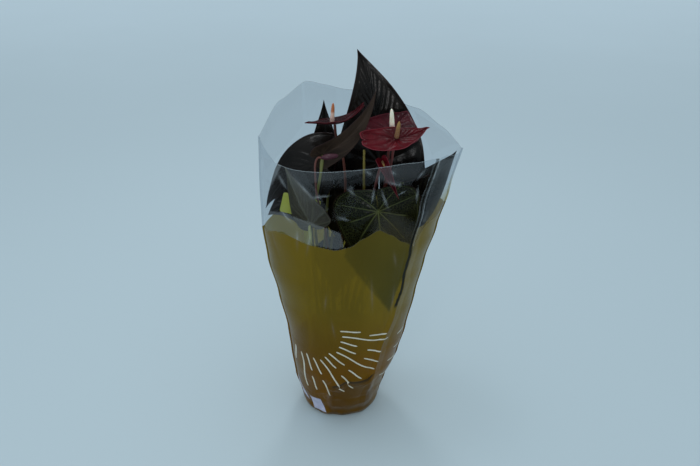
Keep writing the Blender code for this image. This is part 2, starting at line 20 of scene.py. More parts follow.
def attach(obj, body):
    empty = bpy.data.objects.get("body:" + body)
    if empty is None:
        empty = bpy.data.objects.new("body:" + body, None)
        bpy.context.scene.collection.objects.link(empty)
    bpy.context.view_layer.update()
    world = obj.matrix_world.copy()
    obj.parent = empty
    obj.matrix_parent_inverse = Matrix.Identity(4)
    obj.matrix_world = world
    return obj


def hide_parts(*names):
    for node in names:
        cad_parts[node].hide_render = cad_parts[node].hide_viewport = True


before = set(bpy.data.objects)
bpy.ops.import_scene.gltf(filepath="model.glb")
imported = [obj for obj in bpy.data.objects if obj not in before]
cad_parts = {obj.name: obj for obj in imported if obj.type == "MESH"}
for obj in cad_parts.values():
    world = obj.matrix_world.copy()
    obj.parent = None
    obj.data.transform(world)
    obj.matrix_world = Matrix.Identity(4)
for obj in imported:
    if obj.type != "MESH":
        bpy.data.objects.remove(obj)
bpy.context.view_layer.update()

LOG = logging.getLogger("anthurium")
Colour = tuple[float, float, float]
Point = tuple[float, float, float]
Socket = bpy.types.NodeSocket
Table = Sequence[tuple[float, float]]

BODY = "root"
POT_HEIGHT = 0.120
POT_FOOT = 0.0500  # the pot wall's radius at its foot
POT_TOP = 0.0678  # and under its lip
GAP = 0.0004  # clearance that the solid model keeps between pieces
FILM_WALL = 0.0008  # wall that the solid model gives the film
MM = 0.001


# ---- shader trees ---------------------------------------------------------------------------------
class Board:
    """A shader node tree being laid out, with a short call for each kind of node."""

    def __init__(self, tree: bpy.types.NodeTree) -> None:
        """Start on a tree.

        Args:
            tree: The material's or the group's node tree.
        """
        self.tree = tree

    def put(self, kind: str, values: dict[Any, Any] | None = None, **settings: Any) -> bpy.types.Node:
        """Add a node.

        Args:
            kind: Its class name.
            values: Each input's socket to link from, or its plain value.
            settings: The node's own properties.

        Returns:
            The new node.
        """
        node = self.tree.nodes.new(kind)
        for key, value in settings.items():
            setattr(node, key, value)
        self.fill(node, values or {})
        return node

    def fill(self, node: bpy.types.Node, values: dict[Any, Any]) -> None:
        """Set or link a node's inputs.

        Args:
            node: The node.
            values: Each input's socket to link from, or its plain number or colour.
        """
        for key, value in values.items():
            socket = node.inputs[key]
            if isinstance(value, bpy.types.NodeSocket):
                self.tree.links.new(value, socket)
            elif socket.type == "RGBA":
                socket.default_value = (*value, 1.0)
            else:
                socket.default_value = value

    def math(self, operation: str, a: Any, b: Any, clamp: bool = False) -> Socket:
        """One Math node's result."""
        return self.put("ShaderNodeMath", {0: a, 1: b}, operation=operation, use_clamp=clamp).outputs[0]

    def times(self, a: Any, b: Any) -> Socket:
        """Two values multiplied."""
        return self.math("MULTIPLY", a, b)

    def plus(self, a: Any, b: Any, by: float = 1.0, clamp: bool = False) -> Socket:
        """The first value, scaled, and the second together."""
        values = {0: a, 1: by, 2: b}
        return self.put("ShaderNodeMath", values, operation="MULTIPLY_ADD", use_clamp=clamp).outputs[0]

    def remap(self, value: Any, low: float, high: float, to: tuple[float, float] = (0.0, 1.0)) -> Socket:
        """A value carried smoothly from one range to another and held inside it.

        Args:
            value: The socket to read.
            low: Where the range starts.
            high: Where it ends.
            to: What the two ends become.

        Returns:
            The carried value.
        """
        ends = {"Value": value, "From Min": low, "From Max": high, "To Min": to[0], "To Max": to[1]}
        return self.put("ShaderNodeMapRange", ends, interpolation_type="SMOOTHSTEP").outputs["Result"]

    def mix(self, factor: Any, a: Any, b: Any) -> Socket:
        """Two colours mixed by a factor."""
        return self.put("ShaderNodeMix", {0: factor, 6: a, 7: b}, data_type="RGBA").outputs[2]

    def mark(self, name: str) -> Socket:
        """A number that the mesh carries at each vertex."""
        return self.put("ShaderNodeAttribute", attribute_name=name).outputs["Fac"]

    def place(self) -> Socket:
        """The surface's place in the object's own frame."""
        return self.put("ShaderNodeTexCoord").outputs["Object"]

    def drawn(self, share: float) -> Socket:
        """The place with its height scaled, so that what is read there is drawn out along Z."""
        values = {"Vector": self.place(), "Scale": (1.0, 1.0, share)}
        return self.put("ShaderNodeMapping", values).outputs[0]

    def noise(self, scale: Any, detail: float = 3.0, rough: float = 0.5, vector: Any = None) -> Socket:
        """Noise over the surface, from 0 to 1.

        Args:
            scale: Features in a metre.
            detail: Octaves.
            rough: How strong the finer octaves are.
            vector: Where to read it, if not at the place in the object's frame.

        Returns:
            The noise.
        """
        values = {"Vector": vector or self.place(), "Scale": scale, "Detail": detail, "Roughness": rough}
        return self.put("ShaderNodeTexNoise", values).outputs[0]

    def cells(self, scale: Any, feature: str, vector: Any) -> Socket:
        """Distance in a Voronoi pattern: F1 to the middles, DISTANCE_TO_EDGE to the borders."""
        values = {"Vector": vector, "Scale": scale}
        return self.put("ShaderNodeTexVoronoi", values, feature=feature).outputs["Distance"]

    def bump(self, height: Any, distance: float, strength: float = 1.0) -> Socket:
        """A normal bent by a height."""
        values = {"Height": height, "Distance": distance, "Strength": strength}
        return self.put("ShaderNodeBump", values).outputs[0]

    def effect(self, group: bpy.types.NodeTree, values: dict[str, Any]) -> bpy.types.Node:
        """A shared effect placed with this material's own values."""
        return self.put("ShaderNodeGroup", values, node_tree=group)


def shared_effect(name: str, takes: dict[str, float], gives: Sequence[str],
                  lay: Callable[[Board, bpy.types.Node, bpy.types.Node], None]) -> bpy.types.NodeTree:
    """Build an effect once and hand the same group to each material that asks.

    Args:
        name: The group's name.
        takes: Each input's name and usual value.
        gives: The outputs' names.
        lay: Lays out the nodes between the group's input and output.

    Returns:
        The node group.
    """
    group = bpy.data.node_groups.get(name)
    if group:
        return group
    group = bpy.data.node_groups.new(name, "ShaderNodeTree")
    for label, usual in takes.items():
        socket = group.interface.new_socket(label, in_out="INPUT", socket_type="NodeSocketFloat")
        socket.default_value = usual
    for label in gives:
        group.interface.new_socket(label, in_out="OUTPUT", socket_type="NodeSocketFloat")
    board = Board(group)
    lay(board, board.put("NodeGroupInput"), board.put("NodeGroupOutput"))
    return group


def mottling() -> bpy.types.NodeTree:
    """Uneven tone of grown and moulded surfaces: broad patches and fine grain.

    Returns:
        The shared group.
    """

    def lay(board: Board, takes: bpy.types.Node, gives: bpy.types.Node) -> None:
        """Two sizes of noise read from one pair of scales.

        Args:
            board: The tree being laid out.
            takes: The group's input node.
            gives: The group's output node.
        """
        place = board.place()
        broad = board.noise(takes.outputs["Patch size"], 2.0, vector=place)
        fine = board.noise(takes.outputs["Grain size"], 4.0, vector=place)
        board.fill(gives, {"Patches": board.remap(broad, 0.35, 0.65), "Grain": board.remap(fine, 0.3, 0.7)})

    return shared_effect("mottling", {"Patch size": 30.0, "Grain size": 600.0}, ("Patches", "Grain"), lay)


def veinlets() -> bpy.types.NodeTree:
    """The fine net between a blade's veins: its lines, and the cushions that it leaves.

    Returns:
        The shared group.
    """

    def lay(board: Board, takes: bpy.types.Node, gives: bpy.types.Node) -> None:
        """Borders of small cells, wavering a little.

        Args:
            board: The tree being laid out.
            takes: The group's input node.
            gives: The group's output node.
        """
        place = board.place()
        waver = board.put("ShaderNodeTexNoise", {"Vector": place, "Scale": 260.0, "Detail": 2.0})
        drift = board.put("ShaderNodeVectorMath", {0: waver.outputs["Color"], "Scale": 0.0022},
                          operation="SCALE").outputs[0]
        moved = board.put("ShaderNodeVectorMath", {0: place, 1: drift}, operation="ADD").outputs[0]
        net = board.cells(takes.outputs["Net size"], "DISTANCE_TO_EDGE", moved)
        lines = board.remap(net, 0.0, 0.12, (1.0, 0.0))
        board.fill(gives, {"Lines": lines, "Cushions": board.remap(net, 0.0, 0.45)})

    return shared_effect("veinlets", {"Net size": 320.0}, ("Lines", "Cushions"), lay)


def settled_dust() -> bpy.types.NodeTree:
    """Dust and dried water marks, thickest on what faces up.

    Returns:
        The shared group.
    """

    def lay(board: Board, takes: bpy.types.Node, gives: bpy.types.Node) -> None:
        """Upward share of the normal, broken by two noises.

        Args:
            board: The tree being laid out.
            takes: The group's input node.
            gives: The group's output node.
        """
        normal = board.put("ShaderNodeNewGeometry").outputs["Normal"]
        up = board.put("ShaderNodeSeparateXYZ", {0: normal}).outputs["Z"]
        facing = board.remap(up, -0.1, 0.9)
        clumps = board.remap(board.noise(55.0, 4.0), 0.42, 0.7)
        specks = board.remap(board.noise(900.0, 2.0), 0.45, 0.75)
        lying = board.times(facing, board.plus(clumps, 0.5, by=0.7))
        spread = board.times(lying, board.plus(specks, 0.25))
        board.fill(gives, {"Dust": board.math("MULTIPLY", spread, takes.outputs["Amount"], clamp=True)})

    return shared_effect("settled_dust", {"Amount": 0.5}, ("Dust",), lay)


# ---- finishes -------------------------------------------------------------------------------------
MADE: dict[str, bpy.types.Material] = {}


@dataclass(frozen=True)
class Finish:
    """What every finish has: a name and a plain surface to start from."""

    name: str

    def material(self) -> bpy.types.Material:
        """The finish's material, made the first time it is asked for.

        Returns:
            The material.
        """
        if self.name not in MADE:
            made = bpy.data.materials.new(self.name)
            made.use_nodes = True
            self.lay(Board(made.node_tree), made.node_tree.nodes["Principled BSDF"])
            MADE[self.name] = made
        return MADE[self.name]

    def lay(self, board: Board, shader: bpy.types.Node) -> None:
        """Lay out the nodes that feed the surface.

        Args:
            board: The material's tree.
            shader: Its surface.
        """
        raise NotImplementedError


@dataclass(frozen=True)
class BladeFinish(Finish):
    """Skin of a leaf or a spathe: sunk or raised veins, a fine net between them and a waxy gloss."""

    deep: Colour
    warm: Colour
    vein: Colour
    vein_show: float = 0.4
    gloss: float = 0.32
    specular: float = 0.10
    coat: float = 0.0
    net_size: float = 330.0
    net_rise: float = 0.10 * MM
    # colour of the thin margin: painted light, the glow and sheen that the thin edge catches
    rim: Colour = (0.02, 0.006, 0.006)
    dust: float = 0.25
    dust_colour: Colour = (0.16, 0.17, 0.17)

    def lay(self, board: Board, shader: bpy.types.Node) -> None:
        """Tone by patches, veins over it, dust last.

        Args:
            board: The tree being laid out.
            shader: The material's surface.
        """
        tone = board.effect(mottling(), {"Patch size": 26.0, "Grain size": 700.0})
        net = board.effect(veinlets(), {"Net size": self.net_size})
        dust = board.effect(settled_dust(), {"Amount": self.dust}).outputs["Dust"]
        skin = board.mix(tone.outputs["Patches"], self.deep, self.warm)
        skin = board.mix(board.times(net.outputs["Lines"], self.vein_show * 0.35), skin, self.vein)
        skin = board.mix(board.times(board.mark("vein"), self.vein_show), skin, self.vein)
        # painted light along the margin
        skin = board.mix(board.times(board.mark("margin"), 0.8), skin, self.rim)
        skin = board.mix(dust, skin, self.dust_colour)
        height = board.plus(tone.outputs["Grain"], net.outputs["Cushions"], by=0.10)
        rough = board.plus(tone.outputs["Grain"], self.gloss, by=0.12)
        board.fill(shader, {
            "Base Color": skin,
            "Roughness": board.plus(dust, rough, by=0.4),
            "Specular IOR Level": self.specular,
            "Coat Weight": self.coat,
            "Coat Roughness": 0.12,
            "Normal": board.bump(height, self.net_rise, 0.8),
        })


@dataclass(frozen=True)
class SpikeFinish(Finish):
    """A spadix: packed beads whose colour runs from its foot to its tip."""

    foot: Colour
    middle: Colour
    tip: Colour
    ripe_from: float = 0.5
    ripe_to: float = 0.8
    crown: Colour = (0.9, 0.86, 0.7)  # of the finest grain

    def lay(self, board: Board, shader: bpy.types.Node) -> None:
        """Two fades along the spike, paler bead crowns and painted shade darkening the joints.

        Args:
            board: The tree being laid out.
            shader: The material's surface.
        """
        rise = board.mark("rise")
        bead = board.mark("bead")
        tone = board.effect(mottling(), {"Patch size": 160.0, "Grain size": 1800.0})
        skin = board.mix(board.remap(rise, 0.0, 0.45), self.foot, self.middle)
        skin = board.mix(board.remap(rise, self.ripe_from, self.ripe_to), skin, self.tip)
        # painted shade for the joints between beads
        joint_shade = tuple(0.62 * c for c in self.tip)
        skin = board.mix(board.remap(bead, 0.45, 0.0, (0.0, 0.55)), skin, joint_shade)
        skin = board.mix(board.times(tone.outputs["Grain"], 0.12), skin, self.crown)
        board.fill(shader, {
            "Base Color": skin,
            "Roughness": board.remap(bead, 0.0, 1.0, (0.62, 0.42)),
            "Specular IOR Level": 0.20,
            "Subsurface Weight": 0.25,
            "Subsurface Radius": (0.004, 0.002, 0.001),
            "Subsurface Scale": 0.5,
            "Normal": board.bump(tone.outputs["Grain"], 0.12 * MM, 0.6),
        })


@dataclass(frozen=True)
class StalkFinish(Finish):
    """Skin of a stalk: one colour by the root, another by the blade, flecked along its length."""

    low: Colour
    high: Colour
    fleck: Colour
    gloss: float = 0.38

    def lay(self, board: Board, shader: bpy.types.Node) -> None:
        """A fade along the stalk with stretched flecks.

        Args:
            board: The tree being laid out.
            shader: The material's surface.
        """
        rise = board.mark("rise")
        drawn = board.drawn(0.16)
        flecks = board.remap(board.noise(900.0, 3.0, vector=drawn), 0.5, 0.72)
        tone = board.effect(mottling(), {"Patch size": 45.0, "Grain size": 900.0})
        skin = board.mix(board.remap(rise, 0.25, 0.9), self.low, self.high)
        skin = board.mix(board.times(flecks, 0.55), skin, self.fleck)
        skin = board.mix(board.times(tone.outputs["Patches"], 0.25), skin, self.fleck)
        board.fill(shader, {
            "Base Color": skin,
            "Roughness": board.remap(tone.outputs["Grain"], 0.0, 1.0, (self.gloss, self.gloss + 0.15)),
            "Normal": board.bump(flecks, 0.15 * MM, 0.6),
        })


@dataclass(frozen=True)
class FilmFinish(Finish):
    """Stiff clear film, printed in see-through ochre below a waving edge."""

    ink: Colour = (0.165, 0.117, 0.010)
    ink_low: Colour = (0.160, 0.074, 0.005)
    # ink darkened by painted shade below the pocket's fold and along the creases
    ink_in_shade: Colour = (0.088, 0.043, 0.006)
    # ink darkened by painted shade where the hanging leaf lies behind the front panel
    ink_leaf_shade: Colour = (0.042, 0.043, 0.008)
    # the clear film's own haze, also used for its painted highlights and reflections
    haze: Colour = (0.47, 0.53, 0.56)
    # near-black painted shade in the deep fold beside the pleat and along the pocket's edge
    fold: Colour = (0.012, 0.013, 0.010)
    # the tint of what passes through
    ink_pass: Colour = (0.62, 0.46, 0.08)
    clear_pass: Colour = (0.79, 0.815, 0.84)
    # how much of what is behind each one hides
    ink_cover: float = 0.70
    wash_cover: float = 0.16
    # facet: painted reflection on the milky facets
    facet_reflection_cover: float = 0.215
    # painted sheen in a band just below the rim
    sheen_band_cover: float = 0.065
    # crease: the creases' own whitening, with a painted highlight along them and on the pleat's crest
    crease_cover: float = 0.40
    # painted highlight along the cut edge
    rim_highlight_cover: float = 0.30
    fold_shade_cover: float = 0.50
    least_cover: float = 0.035  # less than this hides nothing
    gloss: float = 0.10
    ink_gloss: float = 0.34
    mirror: float = 0.24  # how much the film mirrors edge-on

    def lay(self, board: Board, shader: bpy.types.Node) -> None:
        """A body that ink, haze and creases make opaque, and a mirror over it where it is seen edge-on.

        Args:
            board: The tree being laid out.
            shader: The material's surface.
        """
        ink = board.remap(board.mark("above_print"), 0.35 * MM, -0.35 * MM)
        # the cut edge, where a thin highlight is painted
        rim = board.remap(board.mark("below_rim"), 1.3 * MM, 0.5 * MM)
        bare = board.plus(ink, 1.0, by=-0.85)
        printed = board.math("MAXIMUM", ink, board.times(board.mark("wash"), 0.8))
        tone = board.effect(mottling(), {"Patch size": 14.0, "Grain size": 260.0})
        board.fill(shader, {
            "Base Color": self.colour(board, tone, ink, printed, bare, rim),
            "Roughness": board.remap(tone.outputs["Grain"], 0.0, 1.0, (0.40, 0.52)),
            "Specular IOR Level": 0.10,
            "Normal": board.bump(board.noise(38.0, 2.0), 1.2 * MM, 0.35),
        })
        tint = board.mix(printed, self.clear_pass, self.ink_pass)
        passing = board.put("ShaderNodeBsdfTransparent", {"Color": tint})
        hidden = board.put("ShaderNodeMapRange", {
            "Value": self.cover(board, ink, bare, rim),
            "From Min": self.least_cover,
        })
        body = board.put("ShaderNodeMixShader", {
            0: hidden.outputs["Result"],
            1: passing.outputs[0],
            2: shader.outputs[0],
        })
        mirror = board.put("ShaderNodeBsdfGlossy", {
            "Color": (0.95, 0.97, 1.0),
            "Roughness": board.remap(ink, 0.0, 1.0, (self.gloss, self.ink_gloss)),
            "Normal": board.bump(board.noise(16.0, 1.0), 3.0 * MM, 0.5),
        })
        edge_on = board.put("ShaderNodeLayerWeight", {"Blend": 0.5}).outputs["Facing"]
        share = board.plus(board.math("POWER", edge_on, 4.0), -0.003, by=self.mirror, clamp=True)
        skin = board.put("ShaderNodeMixShader", {0: share, 1: body.outputs[0], 2: mirror.outputs[0]})
        output = next(n for n in board.tree.nodes if n.type == "OUTPUT_MATERIAL")
        board.tree.links.new(skin.outputs[0], output.inputs["Surface"])

    def colour(self, board: Board, tone: bpy.types.Node, ink: Socket, printed: Socket, bare: Socket,
               rim: Socket) -> Socket:
        """What shows on the film itself: ink where it is printed, haze elsewhere.

        Args:
            board: The material's tree.
            tone: The mottling placed in it.
            ink: Where the ink is.
            printed: Where the ink or its thin wash is.
            bare: Where a crease stays white.
            rim: Where the cut edge is, with its painted highlight.

        Returns:
            The colour.
        """
        height = board.put("ShaderNodeSeparateXYZ", {0: board.place()}).outputs["Z"]
        inked = board.mix(board.remap(height, 0.10, 0.24), self.ink_low, self.ink)
        uneven = tuple(0.72 * c for c in self.ink)
        inked = board.mix(board.times(tone.outputs["Patches"], 0.25), inked, uneven)
        # painted shade over the pocket, below its fold
        inked = board.mix(board.times(board.mark("pocket"), 0.7), inked, self.ink_in_shade)
        colour = board.mix(printed, self.haze, inked)
        # painted shade: the ink darkens where the hanging leaf lies close behind it
        leaf_shade = board.times(board.mark("leaf_shade"), 0.75)
        colour = board.mix(board.times(leaf_shade, ink), colour, self.ink_leaf_shade)
        crease = board.mark("crease")
        # painted shade darkens the printed ink along the creases
        crease_shade = board.times(crease, board.math("SUBTRACT", 1.0, bare))
        colour = board.mix(board.times(crease_shade, 0.5), colour, self.ink_in_shade)
        # creases whitened, partly their own whitening and partly painted highlight, with the cut edge's
        # painted highlight
        pale = board.math("MAXIMUM", board.times(crease, bare), rim)
        colour = board.mix(board.times(pale, 0.8), colour, self.haze)
        # painted shade in the deep folds
        return board.mix(board.mark("fold"), colour, self.fold)

    def cover(self, board: Board, ink: Socket, bare: Socket, rim: Socket) -> Socket:
        """How much of what is behind the film it hides.

        Args:
            board: The material's tree.
            ink: Where the ink is.
            bare: Where a crease stays white.
            rim: Where the cut edge is, with its painted highlight.

        Returns:
            The share hidden.
        """
        # painted sheen: the bare film grows milkier towards the rim
        sheen_band = board.remap(board.mark("below_rim"), 40 * MM, 10 * MM, (0.0, self.sheen_band_cover))
        cover = board.times(ink, self.ink_cover)
        cover = board.plus(board.mark("wash"), cover, by=self.wash_cover)
        # painted reflection on the facets
        cover = board.plus(board.mark("facet"), cover, by=self.facet_reflection_cover)
        cover = board.plus(board.times(sheen_band, bare), cover)
        # creases hide more: their own whitening and a painted highlight
        cover = board.plus(board.times(board.mark("crease"), bare), cover, by=self.crease_cover)
        # painted highlight along the cut edge
        cover = board.plus(rim, cover, by=self.rim_highlight_cover)
        # the painted shade in the deep folds also hides what is behind
        cover = board.plus(board.mark("fold"), cover, by=self.fold_shade_cover, clamp=True)
        scuffs = board.remap(board.noise(26.0, 2.0), 0.60, 0.80, (0.0, 0.03))
        return board.plus(scuffs, cover)


@dataclass(frozen=True)
class InkFinish(Finish):
    """Opaque pale ink printed on the film."""

    colour: Colour = (0.56, 0.55, 0.46)
    thin: Colour = (0.42, 0.38, 0.26)

    def lay(self, board: Board, shader: bpy.types.Node) -> None:
        """Pale ink that thins out in places.

        Args:
            board: The tree being laid out.
            shader: The material's surface.
        """
        tone = board.effect(mottling(), {"Patch size": 120.0, "Grain size": 1500.0})
        board.fill(shader, {
            "Base Color": board.mix(board.times(tone.outputs["Patches"], 0.5), self.colour, self.thin),
            "Roughness": board.remap(tone.outputs["Grain"], 0.0, 1.0, (0.30, 0.42)),
            "Normal": board.bump(tone.outputs["Grain"], 0.05 * MM, 0.4),
        })


@dataclass(frozen=True)
class PlasticFinish(Finish):
    """Moulded plastic: faint flow marks, rubbed lighter in patches, with dust where it faces up."""

    colour: Colour
    rubbed: Colour
    gloss: float = 0.42
    dust: float = 0.3
    dust_colour: Colour = (0.20, 0.17, 0.13)

    def lay(self, board: Board, shader: bpy.types.Node) -> None:
        """Rubbed patches and a fine moulded grain.

        Args:
            board: The tree being laid out.
            shader: The material's surface.
        """
        tone = board.effect(mottling(), {"Patch size": 60.0, "Grain size": 1100.0})
        dust = board.effect(settled_dust(), {"Amount": self.dust}).outputs["Dust"]
        skin = board.mix(board.times(tone.outputs["Patches"], 0.45), self.colour, self.rubbed)
        board.fill(shader, {
            "Base Color": board.mix(dust, skin, self.dust_colour),
            "Roughness": board.remap(tone.outputs["Grain"], 0.0, 1.0, (self.gloss, self.gloss + 0.14)),
            "Normal": board.bump(tone.outputs["Grain"], 0.08 * MM, 0.5),
        })


@dataclass(frozen=True)
class FibreFinish(Finish):
    """Peat, bark and papery sheath: crumbly tone in three shades."""

    dark: Colour
    middle: Colour
    pale: Colour
    scale: float = 420.0
    rise: float = 1.2 * MM
    stretch: float = 1.0

    def lay(self, board: Board, shader: bpy.types.Node) -> None:
        """Cells for the crumbs, noise for the shade of each.

        Args:
            board: The tree being laid out.
            shader: The material's surface.
        """
        drawn = board.drawn(self.stretch)
        crumbs = board.cells(self.scale, "F1", drawn)
        shade = board.noise(self.scale * 0.6, 4.0, 0.6, drawn)
        skin = board.mix(board.remap(shade, 0.35, 0.6), self.dark, self.middle)
        skin = board.mix(board.remap(shade, 0.62, 0.74), skin, self.pale)
        board.fill(shader, {
            "Base Color": skin,
            "Roughness": board.remap(shade, 0.2, 0.8, (0.96, 0.78)),
            "Normal": board.bump(board.plus(crumbs, shade, by=-0.6), self.rise, 0.9),
        })


@dataclass(frozen=True)
class FloorFinish(Finish):
    """Plain pale studio floor."""

    # the far colour is paler as painted light
    near: Colour = (0.485, 0.585, 0.630)
    far: Colour = (0.600, 0.715, 0.775)

    def lay(self, board: Board, shader: bpy.types.Node) -> None:
        """Barely uneven paint, made paler towards the back as painted light.

        Args:
            board: The tree being laid out.
            shader: The material's surface.
        """
        depth = board.put("ShaderNodeSeparateXYZ", {0: board.place()}).outputs["Y"]
        # painted light: paler towards the back
        uneven = board.plus(board.noise(1.4, 3.0), board.remap(depth, 0.6, 3.6), by=0.30)
        board.fill(shader, {
            "Base Color": board.mix(board.remap(uneven, 0.10, 1.20), self.near, self.far),
            "Roughness": 0.62,
        })


# ---- meshes ---------------------------------------------------------------------------------------
def along(table: Table, x: np.ndarray | float) -> np.ndarray:
    """Smooth value of a (place, value) table.

    Args:
        table: Pairs of place and value, by rising place.
        x: Where to read it.

    Returns:
        The values, with slopes eased half way at each pair.
    """
    places = np.array([p for p, _ in table])
    values = np.array([v for _, v in table])
    x = np.clip(np.asarray(x, float), places[0], places[-1])
    k = np.clip(np.searchsorted(places, x, side="left") - 1, 0, len(places) - 2)
    t = (x - places[k]) / (places[k + 1] - places[k])
    t = (t * t * (3 - 2 * t) + t) * 0.5
    return values[k] + (values[k + 1] - values[k]) * t


def ease(x: np.ndarray | float, low: float, high: float) -> np.ndarray:
    """Smooth step from 0 at low to 1 at high."""
    t = np.clip((np.asarray(x, float) - low) / (high - low), 0.0, 1.0)
    return t * t * (3 - 2 * t)


def unit(v: np.ndarray) -> np.ndarray:
    """Each row scaled to length 1."""
    return v / np.maximum(np.linalg.norm(v, axis=-1, keepdims=True), 1e-12)


def grid_faces(rows: int, columns: int, closed: bool = False) -> list[tuple[int, ...]]:
    """Quads over a grid of vertices numbered row by row.

    Args:
        rows: Rows of vertices.
        columns: Vertices in each row.
        closed: Whether the last column joins the first.

    Returns:
        Each quad's vertex numbers.
    """
    out = []
    for j in range(rows - 1):
        for i in range(columns if closed else columns - 1):
            k = (i + 1) % columns
            out.append((j * columns + i, j * columns + k, (j + 1) * columns + k, (j + 1) * columns + i))
    return out


def capped_faces(rows: int, sides: int) -> list[tuple[int, ...]]:
    """Quads round a stack of rings, and one face over each end."""
    around = grid_faces(rows, sides, closed=True)
    return [*around, tuple(reversed(range(sides))), tuple(range((rows - 1) * sides, rows * sides))]


def joined(grids: Sequence[np.ndarray]) -> tuple[np.ndarray, list[tuple[int, ...]]]:
    """Several grids of points as one mesh.

    Args:
        grids: Each grid, as rows of columns of points.

    Returns:
        All the points, and all the quads.
    """
    faces: list[tuple[int, ...]] = []
    start = 0
    for grid in grids:
        rows, columns = grid.shape[:2]
        faces += [tuple(start + v for v in quad) for quad in grid_faces(rows, columns)]
        start += rows * columns
    return np.concatenate([grid.reshape(-1, 3) for grid in grids]), faces


def in_order(bm: bmesh.types.BMesh) -> tuple[list[tuple[float, ...]], list[tuple[int, ...]]]:
    """A cut mesh's points and faces, in the same order on every run.

    Args:
        bm: The mesh.

    Returns:
        Its points by place, and its faces by their points.
    """
    verts = sorted(bm.verts, key=lambda vert: tuple(vert.co))
    index = {vert: i for i, vert in enumerate(verts)}
    faces = []
    for face in bm.faces:
        ring = [index[vert] for vert in face.verts]
        first = ring.index(min(ring))
        faces.append((*ring[first:], *ring[:first]))
    return [tuple(vert.co) for vert in verts], sorted(faces)


def turns(sides: int) -> np.ndarray:
    """Angles evenly round a circle."""
    return np.linspace(0, 2 * math.pi, sides, endpoint=False)


def piece(name: str, points: np.ndarray, faces: Sequence[Sequence[int]], finishes: Sequence[Finish],
          marks: dict[str, np.ndarray] | None = None) -> bpy.types.Object:
    """Make a shaded mesh object whose vertices carry named numbers for its material.

    Args:
        name: The piece's name.
        points: Its vertices.
        faces: Vertex numbers of each face.
        finishes: Its finishes, by material slot.
        marks: Numbers kept at each vertex.

    Returns:
        The object, linked to the scene.
    """
    mesh = bpy.data.meshes.new(name)
    mesh.from_pydata([tuple(map(float, p)) for p in points], [], [tuple(map(int, f)) for f in faces])
    for label, values in (marks or {}).items():
        layer = mesh.attributes.new(label, "FLOAT", "POINT")
        layer.data.foreach_set("value", np.asarray(values, np.float32).ravel())
    mesh.shade_smooth()
    for finish in finishes:
        mesh.materials.append(finish.material())
    mesh.update()
    item = bpy.data.objects.new(name, mesh)
    bpy.context.scene.collection.objects.link(item)
    return item


def thicken(item: bpy.types.Object, wall: float, offset: float = 0.0, under_slot: int = 0) -> None:
    """Give a sheet its thickness.

    Args:
        item: The sheet's object.
        wall: How thick.
        offset: -1 grows it below the sheet, 1 above, 0 both ways.
        under_slot: How many material slots on the second face's finish is.
    """
    shell = item.modifiers.new("thickness", "SOLIDIFY")
    shell.thickness = wall
    shell.offset = offset
    shell.use_even_offset = False
    shell.material_offset = under_slot


def settle(item: bpy.types.Object, slot: str, *nodes: str) -> None:
    """Fix a piece to the body, hide the solids that it stands for, and report it.

    Args:
        item: The piece.
        slot: The record's material slot; not used.
        nodes: The solid model's nodes that it replaces.
    """
    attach(item, BODY)
    if nodes:
        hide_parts(*nodes)
    LOG.info("%s: %d vertices", item.name, len(item.data.vertices))


# ---- blades ---------------------------------------------------------------------------------------
# Heart outline, right half, from the tip to the notch: along the midrib over its length, or over the
# lobes' behind the junction, and across over half the width.
HEART: Table = (
    (1.00, 0.00), (0.93, 0.065), (0.80, 0.22), (0.60, 0.48), (0.36, 0.76), (0.12, 0.96),
    (-0.25, 1.00), (-0.72, 0.84), (-1.00, 0.50), (-0.86, 0.20), (-0.42, 0.045),
)

# Veins that fan out from the junction: leaving angle, share along the outline where each ends, strength
FAN = ((38, 0.37, 1.2), (70, 0.49, 1.0), (104, 0.62, 0.9), (142, 0.78, 0.8))


def heart_half(count: int) -> np.ndarray:
    """The heart outline's right half, evenly stepped between its design points.

    Args:
        count: How many steps.

    Returns:
        One row for each place, along and across.
    """
    design = np.array(HEART)
    f = np.linspace(0.0, len(design) - 1, count + 1)
    k = np.minimum(f.astype(int), len(design) - 2)
    t = (f - k)[:, None]
    last = len(design) - 1
    p0, p1, p2, p3 = (design[np.clip(k + d, 0, last)] for d in (-1, 0, 1, 2))
    return 0.5 * (2 * p1 + (p2 - p0) * t + (2 * p0 - 5 * p1 + 4 * p2 - p3) * t ** 2
                  + (3 * p1 - p0 - 3 * p2 + p3) * t ** 3)


@dataclass(frozen=True)
class Vein:
    """One vein on the flat blade."""

    path: np.ndarray
    width: float  # at its start
    depth: float  # share of the blade's vein depth


